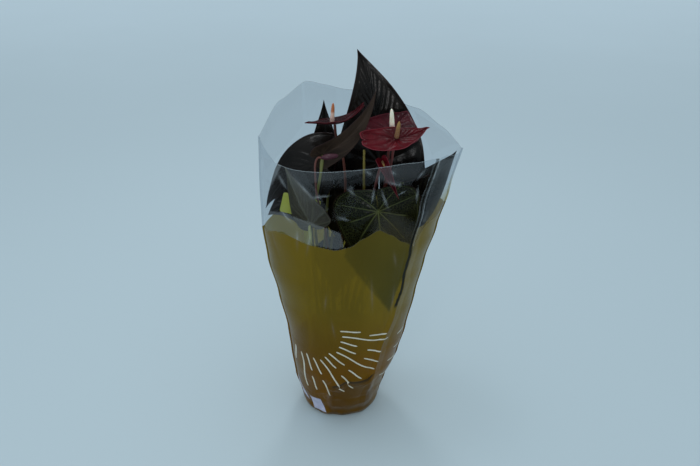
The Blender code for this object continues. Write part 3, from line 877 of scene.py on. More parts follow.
@dataclass(frozen=True)
class Blade:
    """A heart-shaped blade bent along its midrib, folded, cupped and waved, with its own veins."""

    joint: Point
    mid: Point
    tip: Point
    face: Point
    width: float
    lobes: float
    fold: float = 10.0
    cup: float = 0.0
    wave: float = 0.0
    lobe_lift: float = 0.0
    tip_face: Point | None = None
    shut: float = 0.0  # how far the notch between the lobes is filled
    fine: float = 1.0  # mesh steps over the usual
    swell: float = 0.7 * MM  # how far the surface swells between veins
    sink: float = 0.35 * MM  # how far the veins lie in it
    side_veins: int = 6
    vein_width: float = 1.0 * MM
    ruffle: float = 0.5 * MM

    @property
    def length(self) -> float:
        """From the junction to the tip, along the midrib's two straight legs."""
        joint, mid, tip = Vector(self.joint), Vector(self.mid), Vector(self.tip)
        return (mid - joint).length + (tip - mid).length

    def frames(self, a: np.ndarray) -> tuple[np.ndarray, np.ndarray, np.ndarray, np.ndarray]:
        """Places on the midrib, with the ways forward, sideways and out of the face there.

        Args:
            a: Distances from the junction.

        Returns:
            The four, a row for each distance.
        """
        joint, mid, tip = (np.array(p) for p in (self.joint, self.mid, self.tip))
        t = np.clip(a / self.length, 0.0, 1.0)[:, None]
        spot = joint * (1 - t) ** 2 + mid * 2 * t * (1 - t) + tip * t * t
        forward = unit((mid - joint) * (1 - t) + (tip - mid) * t)
        spot = spot + forward * np.minimum(a, 0.0)[:, None]
        face = np.array(self.face) * (1 - t) + np.array(self.tip_face or self.face) * t
        face = unit(face - forward * np.sum(face * forward, axis=1, keepdims=True))
        return spot, forward, np.cross(forward, face), face

    def place(self, a: np.ndarray, b: np.ndarray, lift: np.ndarray | float = 0.0) -> np.ndarray:
        """Where places on the flat blade go.

        Args:
            a: Distances along the midrib.
            b: Distances across it.
            lift: How far above the skin.

        Returns:
            The points.
        """
        spot, _, side, face = self.frames(a)
        half = self.width / 2
        reach = np.abs(b) / half
        fold = np.radians(self.fold) * (1 - 0.4 * np.maximum(0.0, a / self.length))
        rise = np.abs(b) * np.sin(fold) + self.cup * reach ** 2 * half
        rise = rise + np.where(a < 0, self.lobe_lift * (a / self.lobes) ** 2 * self.lobes, 0.0)
        rise = rise + self.wave * reach * np.sin(a / self.length * 9.0 + np.where(b > 0, 1.7, 0.2))
        return spot + side * (b * np.cos(fold))[:, None] + face * (rise + lift)[:, None]

    def outline(self, count: int) -> np.ndarray:
        """The right half of the flat outline in metres.

        Args:
            count: Steps along the half.

        Returns:
            One row for each place.
        """
        half = heart_half(count)
        notch = (half[:, 0] < 0) & (half[:, 1] < 0.5)
        half[:, 0] -= np.where(notch, self.shut * (1 + half[:, 0]), 0.0)
        half[:, 1] *= np.where(notch, 1 - self.shut * (1 - half[:, 1] / 0.5), 1.0)
        half[:, 0] *= np.where(half[:, 0] > 0, self.length, self.lobes)
        half[:, 1] *= self.width / 2
        return half

    def veins(self) -> list[Vein]:
        """Midrib, the pairs that fan out from the junction, side veins and the one along the margin.

        Returns:
            The veins.
        """
        half = self.outline(60)
        inner = half * 0.93
        found = [Vein(np.array([(-0.002, 0.0), (self.length * 0.99, 0.0)]), self.vein_width * 1.5, 1.6)]
        t = np.linspace(0.0, 1.0, 15)[:, None]
        for sign in (1, -1):
            flip = np.array([1.0, sign])
            for angle, share, strength in FAN:
                end = inner[int(share * (len(inner) - 1))]
                way = np.array([math.cos(math.radians(angle)), math.sin(math.radians(angle))])
                bend = way * np.linalg.norm(end) * 0.55
                curve = 2 * bend * t * (1 - t) + end * t * t
                found.append(Vein(curve * flip, self.vein_width * strength, strength))
            for i in range(self.side_veins):
                start = self.length * (0.13 + 0.68 * i / self.side_veins)
                stop = self.length * (0.52 + 0.42 * i / self.side_veins)
                across = float(np.interp(stop, inner[::-1, 0], inner[::-1, 1]))
                a0, a2 = np.array([start, 0.0]), np.array([stop, across])
                bend = np.array([start * 0.55 + stop * 0.45, across * 0.62])
                curve = a0 * (1 - t) ** 2 + 2 * bend * t * (1 - t) + a2 * t * t
                found.append(Vein(curve * flip, self.vein_width * 0.7, 0.7))
            found.append(Vein(inner[2:-4] * flip, self.vein_width * 0.5, 0.4))
        return found

    def relief(self, a: np.ndarray, b: np.ndarray) -> tuple[np.ndarray, np.ndarray]:
        """How far the skin lies off the smooth blade, and where the veins are.

        Args:
            a: Distances along the midrib.
            b: Distances across it.

        Returns:
            The lift, and a vein mask from 0 to 1.
        """
        at = np.stack([a, b], axis=1)
        nearest = np.full(len(a), 1.0)
        mask = np.zeros(len(a))
        sunk = np.zeros(len(a))
        for vein in self.veins():
            start, leg = vein.path[:-1], np.diff(vein.path, axis=0)
            share = np.sum((at[:, None] - start) * leg, axis=2) / np.sum(leg * leg, axis=1)
            share = np.clip(share, 0.0, 1.0)
            away = np.linalg.norm(at[:, None] - start - leg * share[:, :, None], axis=2)
            near = np.argmin(away, axis=1)
            away = away[np.arange(len(a)), near]
            width = vein.width * (1 - 0.6 * (near + share[np.arange(len(a)), near]) / len(leg))
            mask = np.maximum(mask, np.exp(-(away / width) ** 2) * min(1.0, 0.55 + 0.4 * vein.depth))
            sunk = np.maximum(sunk, np.exp(-(away / (1.8 * width)) ** 2) * vein.depth)
            nearest = np.minimum(nearest, away)
        between = 1 - np.exp(-(nearest / (self.width * 0.045)) ** 1.6)
        calm = ease(np.hypot(a, b), 0.0, self.width * 0.12)
        pucker = np.sin(a * 330 + 2.1 * np.sin(b * 190)) * np.sin(b * 290 + 1.7 * np.sin(a * 230))
        return (self.swell * between * calm * (1 + 0.28 * pucker) - self.sink * sunk), mask

    def build(self, name: str, per_half: int, rings: int, wall: float,
              finishes: Sequence[Finish]) -> bpy.types.Object:
        """Fan the blade's mesh out from its junction.

        Args:
            name: The piece's name.
            per_half: Steps along each half of the outline.
            rings: Rings from the junction to the margin.
            wall: The blade's thickness.
            finishes: Upper skin, then under skin.

        Returns:
            The blade, with its thickness as a modifier.
        """
        right = self.outline(per_half)
        outline = np.concatenate([(right * [1, -1])[::-1][:-1], right])
        shares = (np.arange(1, rings + 1) / rings) ** 0.85
        flat = (outline[None] * shares[:, None, None]).reshape(-1, 2)
        flat = np.concatenate([[[0.0, 0.0]], flat])
        a, b = flat[:, 0], flat[:, 1]
        lift, vein = self.relief(a, b)
        share = np.concatenate([[0.0], np.repeat(shares, len(outline))])
        turn = np.concatenate([[0.0], np.tile(np.arange(len(outline)), rings)])
        lift = lift + self.ruffle * share ** 4 * np.sin(turn / len(outline) * 2 * math.pi * 9 + 1.0)
        fan = [(0, 2 + i, 1 + i) for i in range(len(outline) - 1)]
        faces = fan + [tuple(1 + v for v in quad) for quad in grid_faces(rings, len(outline))]
        points = self.place(a, b, lift)
        marks = {"vein": vein, "margin": ease(share, 0.965, 1.0)}
        item = piece(name, points, faces, finishes, marks)
        if np.mean([np.dot(p.normal, self.face) for p in item.data.polygons]) < 0:
            item.data.flip_normals()
        thicken(item, wall, under_slot=1 if len(finishes) > 1 else 0)
        return item


@dataclass
class Foliage:
    """The eleven leaf blades."""

    wall: float = 0.55 * MM
    blades: dict[str, Blade] = field(default_factory=lambda: {
        "tall": Blade((0.060, 0.042, 0.402), (0.060, 0.050, 0.490), (0.027, 0.068, 0.562),
                      (0.0, -0.96, 0.28),
                      0.132, 0.054, fold=8, cup=0.02, wave=0.0018, shut=0.85, swell=1.2 * MM, sink=0.5 * MM,
                      side_veins=8, fine=1.2),
        "upright": Blade((-0.020, 0.050, 0.392), (-0.019, 0.056, 0.440), (-0.0205, 0.060, 0.491),
                         (-0.15, -0.97, 0.15), 0.054, 0.020, fold=12, wave=0.0010),
        "left": Blade((-0.020, 0.004, 0.4125), (-0.070, 0.004, 0.4260), (-0.1050, -0.002, 0.350),
                      (-0.25, -0.80, 0.55), 0.102, 0.018, fold=-8, cup=-0.10, wave=0.0016,
                      tip_face=(-0.60, -0.75, 0.25)),
        "front_left": Blade((-0.037, -0.060, 0.353), (-0.055, -0.058, 0.393), (-0.0705, -0.042, 0.434),
                            (0.45, 0.85, -0.05), 0.060, 0.010, fold=14, cup=0.04, wave=0.0010),
        "front": Blade((0.0555, -0.056, 0.372), (0.0640, -0.071, 0.300), (0.0745, -0.061, 0.2097),
                       (0.04, -1.0, 0.05), 0.126, 0.032, fold=-12, cup=-0.30, wave=0.0014, lobe_lift=-0.06,
                       shut=0.88, side_veins=4, vein_width=0.85 * MM, swell=1.5 * MM, fine=1.45),
        "right": Blade((0.100, 0.008, 0.345), (0.134, 0.008, 0.388), (0.1655, 0.001, 0.4375),
                       (0.10, -0.97, 0.20), 0.076, 0.028, fold=-4, cup=-0.04, wave=0.0012),
        "low": Blade((-0.040, 0.008, 0.352), (-0.074, 0.006, 0.360), (-0.1030, 0.002, 0.336),
                     (-0.08, -0.95, 0.28), 0.084, 0.014, fold=-6, cup=-0.06, wave=0.0010),
        "inner": Blade((-0.006, 0.023, 0.372), (-0.002, 0.018, 0.330), (0.005, 0.022, 0.268),
                       (-0.05, -1.0, 0.10), 0.082, 0.024, fold=-8, cup=-0.08, wave=0.0012, shut=0.85),
        "young": Blade((-0.021, -0.031, 0.445), (0.0360, -0.020, 0.4700), (0.0533, 0.010, 0.5243),
                       (-0.30, 0.93, 0.15), 0.040, 0.014, fold=-14, cup=-0.06, wave=0.0008, swell=0.3 * MM,
                       sink=-0.25 * MM),
        "cupped": Blade((0.090, -0.015, 0.403), (0.107, -0.023, 0.405), (0.125, -0.031, 0.416),
                        (-0.30, -0.12, 0.93), 0.040, 0.012, fold=20, cup=0.12, wave=0.0008, swell=0.4 * MM),
        "rear": Blade((0.006, 0.063, 0.244), (0.000, 0.070, 0.200), (-0.008, 0.066, 0.150),
                      (-0.05, 0.98, 0.15), 0.096, 0.028, fold=-10, cup=-0.16, wave=0.0014, lobe_lift=-0.04),
    })

    upper = BladeFinish("leaf_upper_skin", deep=(0.0030, 0.0026, 0.0023), warm=(0.0075, 0.0056, 0.0046),
                        vein=(0.013, 0.010, 0.008), vein_show=0.5, gloss=0.15, coat=0.07, dust=0.006)
    green = BladeFinish("leaf_green_skin", deep=(0.0022, 0.0027, 0.0016), warm=(0.0050, 0.0055, 0.0030),
                        vein=(0.17, 0.20, 0.075), vein_show=0.55, gloss=0.18, coat=0.06, dust=0.005)
    under = BladeFinish("leaf_under_skin", deep=(0.034, 0.032, 0.024), warm=(0.054, 0.047, 0.034),
                        vein=(0.12, 0.12, 0.075), vein_show=0.5, gloss=0.50, dust=0.02)
    dark_under = BladeFinish("leaf_dark_under_skin", deep=(0.014, 0.012, 0.009), warm=(0.026, 0.019, 0.014),
                             vein=(0.06, 0.05, 0.035), vein_show=0.5, gloss=0.5, dust=0.02)
    bronze = BladeFinish("leaf_bronze_skin", deep=(0.0170, 0.0110, 0.0080), warm=(0.0330, 0.0210, 0.0150),
                         vein=(0.06, 0.040, 0.028), vein_show=0.5, gloss=0.42, dust=0.02)

    def dress(self, key: str) -> list[Finish]:
        """Upper and under finish of one leaf.

        Args:
            key: The leaf's name.

        Returns:
            Its finishes.
        """
        pairs = {
            "front": [self.green, self.dark_under],
            "front_left": [self.upper, self.under],
            "young": [self.bronze, self.bronze],
        }
        return pairs.get(key, [self.upper, self.dark_under])

    def build(self) -> None:
        """Each leaf as its own piece, finer where it is bigger."""
        slots = {"front_left": "leaf_underside", "young": "leaf_bronze"}
        for key, blade in self.blades.items():
            steps = int((45 + 420 * blade.width) * blade.fine)
            item = blade.build(f"blade_{key}", steps, int(steps * 0.75), self.wall, self.dress(key))
            settle(item, slots.get(key, "leaf_dark"), f"leaf_{key}")


# ---- stalks ---------------------------------------------------------------------------------------
MIX_TOP_Z = 0.104


def mix_height(x: float, y: float) -> float:
    """Height of the potting mix's lumpy top at a place.

    Args:
        x: Place across.
        y: Place from front to back.

    Returns:
        The height.
    """
    broad = 0.0011 * math.sin(190 * x + 1.3) * math.cos(170 * y - 0.4)
    lumps = broad + 0.0007 * math.sin(330 * y + 260 * x)
    return MIX_TOP_Z + 0.0025 * math.exp(-(x * x + y * y) / 0.0009) + lumps


def foot(angle: float, ring: float) -> Vector:
    """A place on the mix beside the crown, where a stalk starts."""
    x, y = ring * math.cos(math.radians(angle)), ring * math.sin(math.radians(angle))
    return Vector((x, y, mix_height(x, y) + 0.0024))


def under_blade(blade: Blade, wall: float, radius: float, arrive: Sequence[float]) -> Vector:
    """The end of a stalk that meets a blade's underside at its junction.

    Args:
        blade: The blade.
        wall: The solid model's blade thickness.
        radius: The stalk's.
        arrive: The way the stalk points there.

    Returns:
        The point.
    """
    face = Vector(blade.frames(np.zeros(1))[3][0])
    lean = math.sqrt(max(0.0, 1 - Vector(arrive).normalized().dot(face) ** 2))
    return Vector(blade.joint) - face * (wall / 2 + GAP + radius * (0.25 + lean))


@dataclass(frozen=True)
class Stalk:
    """A bent round stalk through chosen points, with its own radius at each."""

    points: Sequence[Vector]
    radii: Sequence[float]
    rib: float = 0.035  # how far its faint ribs stand, over its radius
    sides: int = 18

    def build(self, name: str, finish: Finish) -> bpy.types.Object:
        """Sweep the stalk and carry how far up it each vertex is.

        Args:
            name: The piece's name.
            finish: Its finish.

        Returns:
            The piece.
        """
        line = bpy.data.curves.new(name, "CURVE")
        line.dimensions = "3D"
        line.resolution_u = 14
        spline = line.splines.new("BEZIER")
        spline.bezier_points.add(len(self.points) - 1)
        for knot, co in zip(spline.bezier_points, self.points):
            knot.co = co
            knot.handle_left_type = knot.handle_right_type = "AUTO"
        guide = bpy.data.objects.new(name + "_guide", line)
        bpy.context.scene.collection.objects.link(guide)
        bpy.context.view_layer.update()
        traced = guide.evaluated_get(bpy.context.evaluated_depsgraph_get()).to_mesh()
        path = np.array([v.co for v in traced.vertices])
        bpy.data.objects.remove(guide, do_unlink=True)
        return self.sweep(name, path, finish)

    def sweep(self, name: str, path: np.ndarray, finish: Finish) -> bpy.types.Object:
        """Carry a ribbed ring along a traced path and close both its ends.

        Args:
            name: The piece's name.
            path: Places along the stalk.
            finish: Its finish.

        Returns:
            The piece.
        """
        steps = np.concatenate([[0.0], np.cumsum(np.linalg.norm(np.diff(path, axis=0), axis=1))])
        rise = steps / steps[-1]
        knots = [int(np.argmin(np.linalg.norm(path - np.array(p), axis=1))) for p in self.points]
        radius = np.interp(np.arange(len(path)), knots, self.radii)
        ahead = unit(np.gradient(path, axis=0))
        side = np.zeros_like(path)
        start = np.array([1.0, 0.0, 0.0])
        for i, way in enumerate(ahead):
            start = start - way * float(start @ way)
            start = start / np.linalg.norm(start)
            side[i] = start
        up = np.cross(ahead, side)
        turn = turns(self.sides)
        ribs = 1 + self.rib * np.sin(turn * 5)[None] * np.sin(rise * 40)[:, None]
        ring = radius[:, None] * ribs
        points = path[:, None] + side[:, None] * (np.cos(turn) * ring)[:, :, None]
        points = (points + up[:, None] * (np.sin(turn) * ring)[:, :, None]).reshape(-1, 3)
        marks = {"rise": np.repeat(rise, self.sides)}
        return piece(name, points, capped_faces(len(path), self.sides), [finish], marks)


@dataclass
class Stalks:
    """Leaf stalks, flower stalks and the cut one."""

    foliage: Foliage
    leaf_wall: float = 0.0009
    thick: float = 0.0019
    sunk: float = 0.007  # how far each foot goes into the mix

    green = StalkFinish("petiole_skin", low=(0.150, 0.125, 0.050), high=(0.140, 0.150, 0.030),
                        fleck=(0.075, 0.070, 0.020))
    yellow = StalkFinish("petiole_pale_skin", low=(0.20, 0.17, 0.06), high=(0.30, 0.32, 0.085),
                         fleck=(0.16, 0.16, 0.04))
    dark = StalkFinish("petiole_dark_skin", low=(0.075, 0.060, 0.028), high=(0.030, 0.026, 0.014),
                       fleck=(0.02, 0.016, 0.01))
    red = StalkFinish("peduncle_skin", low=(0.110, 0.070, 0.030), high=(0.115, 0.014, 0.010),
                      fleck=(0.06, 0.010, 0.008))
    orange = StalkFinish("peduncle_orange_skin", low=(0.080, 0.050, 0.016), high=(0.100, 0.018, 0.008),
                         fleck=(0.05, 0.012, 0.006))
    olive = StalkFinish("cut_stalk_skin", low=(0.110, 0.090, 0.030), high=(0.240, 0.190, 0.030),
                        fleck=(0.10, 0.085, 0.02))

    def leaf_routes(self) -> dict[str, tuple[float, float, list[Point], Point]]:
        """Each leaf stalk's foot angle and ring, its bends and the way it arrives.

        Returns:
            The routes by leaf.
        """
        return {
            "tall": (60, 0.021, [(0.016, 0.030, 0.200), (0.034, 0.042, 0.285), (0.048, 0.055, 0.340)],
                     (0.08, -0.45, 0.90)),
            "upright": (105, 0.023, [(-0.010, 0.028, 0.200), (-0.018, 0.042, 0.290),
                                     (-0.020, 0.058, 0.345)],
                        (0.0, -0.40, 0.90)),
            "left": (165, 0.024, [(-0.026, 0.008, 0.200), (-0.018, 0.016, 0.330)], (-0.30, -0.50, 0.80)),
            "front_left": (215, 0.024, [(-0.026, -0.028, 0.200), (-0.034, -0.058, 0.295)],
                           (-0.05, 0.35, 0.93)),
            "front": (300, 0.022, [(0.018, -0.026, 0.190), (0.046, -0.032, 0.305)], (0.20, -0.75, 0.60)),
            "right": (5, 0.024, [(0.034, 0.006, 0.190), (0.076, 0.026, 0.280)], (0.25, -0.35, 0.88)),
            "inner": (125, 0.024, [(-0.017, 0.020, 0.200), (-0.008, 0.030, 0.310)], (0.0, -0.35, 0.90)),
            "low": (186, 0.028, [(-0.036, 0.004, 0.200), (-0.040, 0.016, 0.300)], (0.0, -0.35, 0.90)),
            "young": (200, 0.018, [(-0.020, -0.010, 0.200), (-0.032, -0.036, 0.360)], (0.10, 0.35, 0.93)),
            "cupped": (340, 0.020, [(0.028, -0.008, 0.190), (0.076, -0.012, 0.310)], (0.15, -0.05, 1.00)),
            "rear": (85, 0.018, [(0.004, 0.028, 0.160), (0.007, 0.040, 0.220)], (0.0, 0.80, 0.50)),
        }

    def root(self, angle: float, ring: float) -> Vector:
        """Where a stalk's foot ends inside the mix."""
        return foot(angle, ring) - Vector((0, 0, self.sunk))

    def build_leaf_stalks(self) -> None:
        """Sheathed foot, slim middle, swollen joint, and a taper into the blade."""
        finishes = {"front_left": self.yellow, "front": self.green, "tall": self.dark, "right": self.dark,
                    "upright": self.dark, "rear": self.dark}
        for key, (angle, ring, bends, arrive) in self.leaf_routes().items():
            blade = self.foliage.blades[key]
            end, way = under_blade(blade, self.leaf_wall, 0.0020, arrive), Vector(arrive).normalized()
            points = [self.root(angle, ring), foot(angle, ring), *[Vector(b) for b in bends],
                      end - way * 0.020, end - way * 0.009, end, Vector(blade.joint)]
            shares = [1.7, 1.5, *[1.0 for _ in bends], 1.0, 1.35, 0.95, 0.2]
            radii = [self.thick * share for share in shares]
            item = Stalk(points, radii).build(f"stalk_{key}", finishes.get(key, self.green))
            settle(item, "petiole_green", f"petiole_{key}")

    def build_flower_stalk(self, name: str, node: str, start: tuple[float, float], bends: list[Point],
                           end: Vector, arrive: Sequence[float], finish: Finish, thick: float,
                           neck: float, into: Vector) -> None:
        """One flower stalk, even along its length and a little wider under the flower.

        Args:
            name: The piece's name.
            node: The solid it stands for.
            start: Foot angle and ring.
            bends: Points between.
            end: Where it meets the flower.
            arrive: The way it points there.
            finish: Its finish.
            thick: Its radius.
            neck: How far below the end it runs straight.
            into: The last point, inside the flower.
        """
        way = Vector(arrive).normalized()
        points = [self.root(*start), foot(*start), *[Vector(b) for b in bends], end - way * neck, end, into]
        shares = [1.3, 1.15, *[1.0 for _ in bends], 1.0, 1.1, 0.3]
        radii = [thick * share for share in shares]
        settle(Stalk(points, radii).build(name, finish), "peduncle_red", node)

    def build(self, spathes: dict[str, Blade], spathe_wall: float) -> None:
        """All the stalks.

        Args:
            spathes: The flowers' blades that the flower stalks carry.
            spathe_wall: The solid model's spathe thickness.
        """
        self.build_leaf_stalks()
        routes = {
            "left": ((140, 0.0175), [(-0.008, 0.012, 0.190), (0.006, 0.008, 0.310), (0.0075, 0.013, 0.420)],
                     (-0.10, 0.0, 1.0), self.orange),
            "back": ((25, 0.0175), [(0.026, 0.010, 0.200), (0.062, 0.006, 0.350)], (0.08, -0.06, 1.0),
                     self.red),
            "front": ((320, 0.0180), [(0.022, -0.012, 0.200), (0.062, -0.024, 0.370)], (0.06, -0.08, 1.0),
                      self.red),
            "narrow": ((280, 0.0180), [(0.010, -0.020, 0.200), (0.044, -0.022, 0.350)],
                       (0.20, -0.40, 0.90), self.red),
        }
        for key, (start, bends, arrive, finish) in routes.items():
            end = under_blade(spathes[key], spathe_wall, 0.0021, arrive)
            self.build_flower_stalk(f"stalk_flower_{key}", f"peduncle_{key}", start, bends, end, arrive,
                                    finish, self.thick, 0.016, Vector(spathes[key].joint))
        bends = [(-0.010, -0.018, 0.200), (-0.018, -0.044, 0.340), (-0.0290, -0.055, 0.415)]
        end, into = Vector((-0.0220, -0.044, 0.4469)), Vector((-0.0206, -0.044, 0.4471))
        self.build_flower_stalk("stalk_bud", "peduncle_bud", (240, 0.0180), bends, end, (1.0, 0.0, 0.12),
                                self.orange, 0.0014, 0.004, into)
        cut = [self.root(345, 0.034), foot(345, 0.034), Vector((0.036, -0.003, 0.200)),
               Vector((0.037, 0.008, 0.330)), Vector((0.037, 0.018, 0.432))]
        item = Stalk(cut, [0.0023, 0.0021, 0.0019, 0.0018, 0.0017]).build("stalk_cut_off", self.olive)
        settle(item, "stalk_olive", "stalk_cut")


# ---- flowers --------------------------------------------------------------------------------------
@dataclass(frozen=True)
class Spike:
    """A spadix: a tapered, round-ended spike packed with beads in two crossing spirals."""

    lean: tuple[float, float]
    length: float
    radius: float
    beads_round: tuple[int, int] = (8, 13)
    bead_rise: float = 0.075  # over the radius
    twist: float = 3.4  # how far the rows of beads wind round, in radians for each radius of length
    rings: int = 110
    sides: int = 104

    def build(self, name: str, blade: Blade, wall: float, finish: Finish) -> bpy.types.Object:
        """Turn the spike, bead it and stand it on its spathe.

        Args:
            name: The piece's name.
            blade: The spathe.
            wall: The solid model's spathe thickness.
            finish: The spike's finish.

        Returns:
            The piece.
        """
        rows, sides = self.rings, self.sides
        t = np.linspace(0.0, 1.0, rows)
        close = np.sqrt(np.maximum(0.0, 1 - (np.maximum(0.0, t - 0.72) / 0.285) ** 2))
        profile = self.radius * (1 - 0.42 * t) * close * (0.8 + 0.2 * ease(t, 0.0, 0.12))
        turn = turns(sides)
        first, second = self.beads_round
        wind = self.twist * self.length / self.radius * t[:, None]
        spiral = np.cos(first * (turn[None] + wind * 0.35))
        counter = np.cos(second * (turn[None] - wind * 0.22))
        bead = 0.5 + 0.25 * (spiral + counter)
        ring = profile[:, None] * (1 + self.bead_rise * (bead - 0.6) * 2)
        x, y = ring * np.cos(turn), ring * np.sin(turn)
        z = np.broadcast_to((self.length * 1.012 * t)[:, None] - 0.0012 * (1 - t)[:, None], x.shape)
        local = np.stack([x, y, z], axis=2).reshape(-1, 3)
        _, forward, side, face = (v[0] for v in blade.frames(np.zeros(1)))
        up = unit(face + forward * self.lean[0] + side * self.lean[1])
        turned = np.array(Vector(up).to_track_quat("Z", "Y").to_matrix())
        tilt = math.sqrt(max(0.0, 1 - float(up @ face) ** 2))
        seat = blade.place(np.array([0.004]), np.zeros(1))[0]
        seat = seat + face * (wall / 2 + GAP + self.radius * (tilt + 0.25))
        marks = {"rise": np.repeat(t, sides), "bead": bead.ravel()}
        return piece(name, local @ turned.T + seat, capped_faces(rows, sides), [finish], marks)


@dataclass
class Flowers:
    """Four open flowers and one bud."""

    wall: float = 0.8 * MM
    cad_wall: float = 0.0011
    bud_at: Point = (-0.0214, -0.044, 0.447)
    bud_length: float = 0.0232
    bud_tip: float = 83.0  # how far it leans over towards +X, in degrees
    spathes: dict[str, Blade] = field(default_factory=lambda: {
        "left": Blade((-0.004, 0.015, 0.4720), (-0.024, 0.014, 0.4725), (-0.0455, 0.012, 0.4755),
                      (0.0, 0.20, 0.98),
                      0.044, 0.040, fold=12, cup=0.05, lobe_lift=0.62, swell=0.5 * MM, side_veins=4),
        "back": Blade((0.073, -0.004, 0.4676), (0.0845, 0.0165, 0.4770), (0.0986, 0.0400, 0.4818),
                      (-0.05, -0.35, 0.93), 0.084, 0.018, fold=6, cup=-0.03, swell=0.8 * MM, sink=0.5 * MM,
                      side_veins=4),
        "front": Blade((0.0755, -0.036, 0.4700), (0.0990, -0.0335, 0.4725), (0.1235, -0.020, 0.4815),
                       (-0.15, -0.25, 0.95), 0.052, 0.044, fold=6, cup=-0.06, shut=0.8, lobe_lift=0.14,
                       swell=0.9 * MM, sink=0.5 * MM, side_veins=4, fine=1.3),
        "narrow": Blade((0.060, -0.040, 0.441), (0.068, -0.054, 0.428), (0.083, -0.054, 0.390),
                        (-0.10, -0.90, 0.42),
                        0.018, 0.005, fold=34, cup=0.10, swell=0.2 * MM, sink=0.2 * MM, side_veins=3,
                        ruffle=0.2 * MM),
    })

    # back spathe's skin: darker than the crimson one as painted shade
    burgundy_in_shade = BladeFinish("spathe_burgundy_in_shade_skin", deep=(0.034, 0.0034, 0.0066),
                           warm=(0.064, 0.0060, 0.0110),
                           vein=(0.012, 0.002, 0.003), vein_show=0.6, gloss=0.17, specular=0.03, coat=0.05,
                           net_size=420.0, net_rise=0.25 * MM, rim=(0.14, 0.030, 0.040), dust=0.0)
    crimson = BladeFinish("spathe_crimson_skin", deep=(0.050, 0.0020, 0.0044), warm=(0.100, 0.0038, 0.0084),
                          vein=(0.030, 0.002, 0.004), vein_show=0.5, gloss=0.14, specular=0.03, coat=0.06,
                          net_size=420.0, net_rise=0.25 * MM, rim=(0.20, 0.034, 0.046), dust=0.0)
    dusky = BladeFinish("spathe_dusky_skin", deep=(0.018, 0.0016, 0.0026), warm=(0.040, 0.0030, 0.0050),
                        vein=(0.010, 0.001, 0.002), vein_show=0.5, gloss=0.20, specular=0.02, coat=0.01,
                        net_size=420.0, net_rise=0.25 * MM, rim=(0.10, 0.016, 0.022), dust=0.0)
    underside = BladeFinish("spathe_under_skin", deep=(0.050, 0.0080, 0.0120), warm=(0.085, 0.0130, 0.0190),
                            vein=(0.12, 0.03, 0.03), vein_show=0.4, gloss=0.34, coat=0.06, dust=0.0)
    cream = SpikeFinish("spadix_cream_skin", foot=(0.62, 0.26, 0.22), middle=(0.92, 0.86, 0.70),
                        tip=(0.94, 0.91, 0.75))
    ochre = SpikeFinish("spadix_ochre_skin", foot=(0.14, 0.045, 0.006), middle=(0.18, 0.068, 0.009),
                        tip=(0.27, 0.14, 0.016))
    ripe = SpikeFinish("spadix_orange_skin", foot=(0.56, 0.36, 0.32), middle=(0.66, 0.45, 0.38),
                       tip=(0.42, 0.10, 0.014), ripe_from=0.46, ripe_to=0.62)
    bud_skin = BladeFinish("bud_skin", deep=(0.050, 0.010, 0.020), warm=(0.085, 0.020, 0.034),
                           vein=(0.03, 0.006, 0.01),
                           gloss=0.35, coat=0.3, dust=0.15, dust_colour=(0.3, 0.2, 0.2))

    def build(self) -> None:
        """Spathes, spikes and the bud."""
        skins = {"back": (self.burgundy_in_shade, "spathe_burgundy"), "front": (self.crimson, "spathe_burgundy"),
                 "left": (self.dusky, "spathe_red"), "narrow": (self.crimson, "spathe_red")}
        for key, blade in self.spathes.items():
            skin, slot = skins[key]
            steps = int(56 * blade.fine)
            item = blade.build(f"flower_{key}", steps, int(0.75 * steps), self.wall, [skin, self.underside])
            settle(item, slot, f"spathe_{key}")
        spikes = {
            "left": (Spike((-0.05, 0.0), 0.0265, 0.0033), self.ripe, "spadix_orange"),
            "back": (Spike((0.283, -0.135), 0.029, 0.0038), self.cream, "spadix_cream"),
            "front": (Spike((0.229, -0.195), 0.022, 0.0034), self.ochre, "spadix_ochre"),
            "narrow": (Spike((0.9, 0.0), 0.018, 0.0017, (6, 9)), self.ochre, "spadix_ochre"),
        }
        for key, (spike, finish, slot) in spikes.items():
            item = spike.build(f"spike_{key}", self.spathes[key], self.cad_wall, finish)
            settle(item, slot, f"spadix_{key}")
        self.build_bud()

    def build_bud(self) -> None:
        """The bud: a spathe still rolled round its spike, with the free edge running up it as a seam."""
        rows, sides = 70, 64
        t = np.linspace(0.0, 1.0, rows)
        belly = 0.0018 + 0.0030 * np.sin(math.pi * t) ** 0.8 * (1 - 0.35 * t)
        profile = belly * np.sqrt(1 - ease(t, 0.9, 1.0) * 0.96)
        turn = turns(sides)
        wound = np.mod(turn[None] + 2.2 * t[:, None], 2 * math.pi) / (2 * math.pi)
        ring = profile[:, None] * (0.90 + 0.12 * wound ** 1.5)
        local = np.stack([ring * np.cos(turn), ring * np.sin(turn),
                          np.broadcast_to((self.bud_length * t)[:, None], ring.shape)],
                          axis=2).reshape(-1, 3)
        tip = math.radians(self.bud_tip)
        x = local[:, 0] * math.cos(tip) + local[:, 2] * math.sin(tip)
        z = -local[:, 0] * math.sin(tip) + local[:, 2] * math.cos(tip)
        points = np.stack([x, local[:, 1], z], axis=1) + np.array(self.bud_at)
        seam = np.exp(-((1 - wound) / 0.03) ** 2).ravel()
        marks = {"vein": seam, "margin": seam * 0.0}
        item = piece("bud_rolled", points, capped_faces(rows, sides), [self.bud_skin], marks)
        settle(item, "bud_purple", "bud")


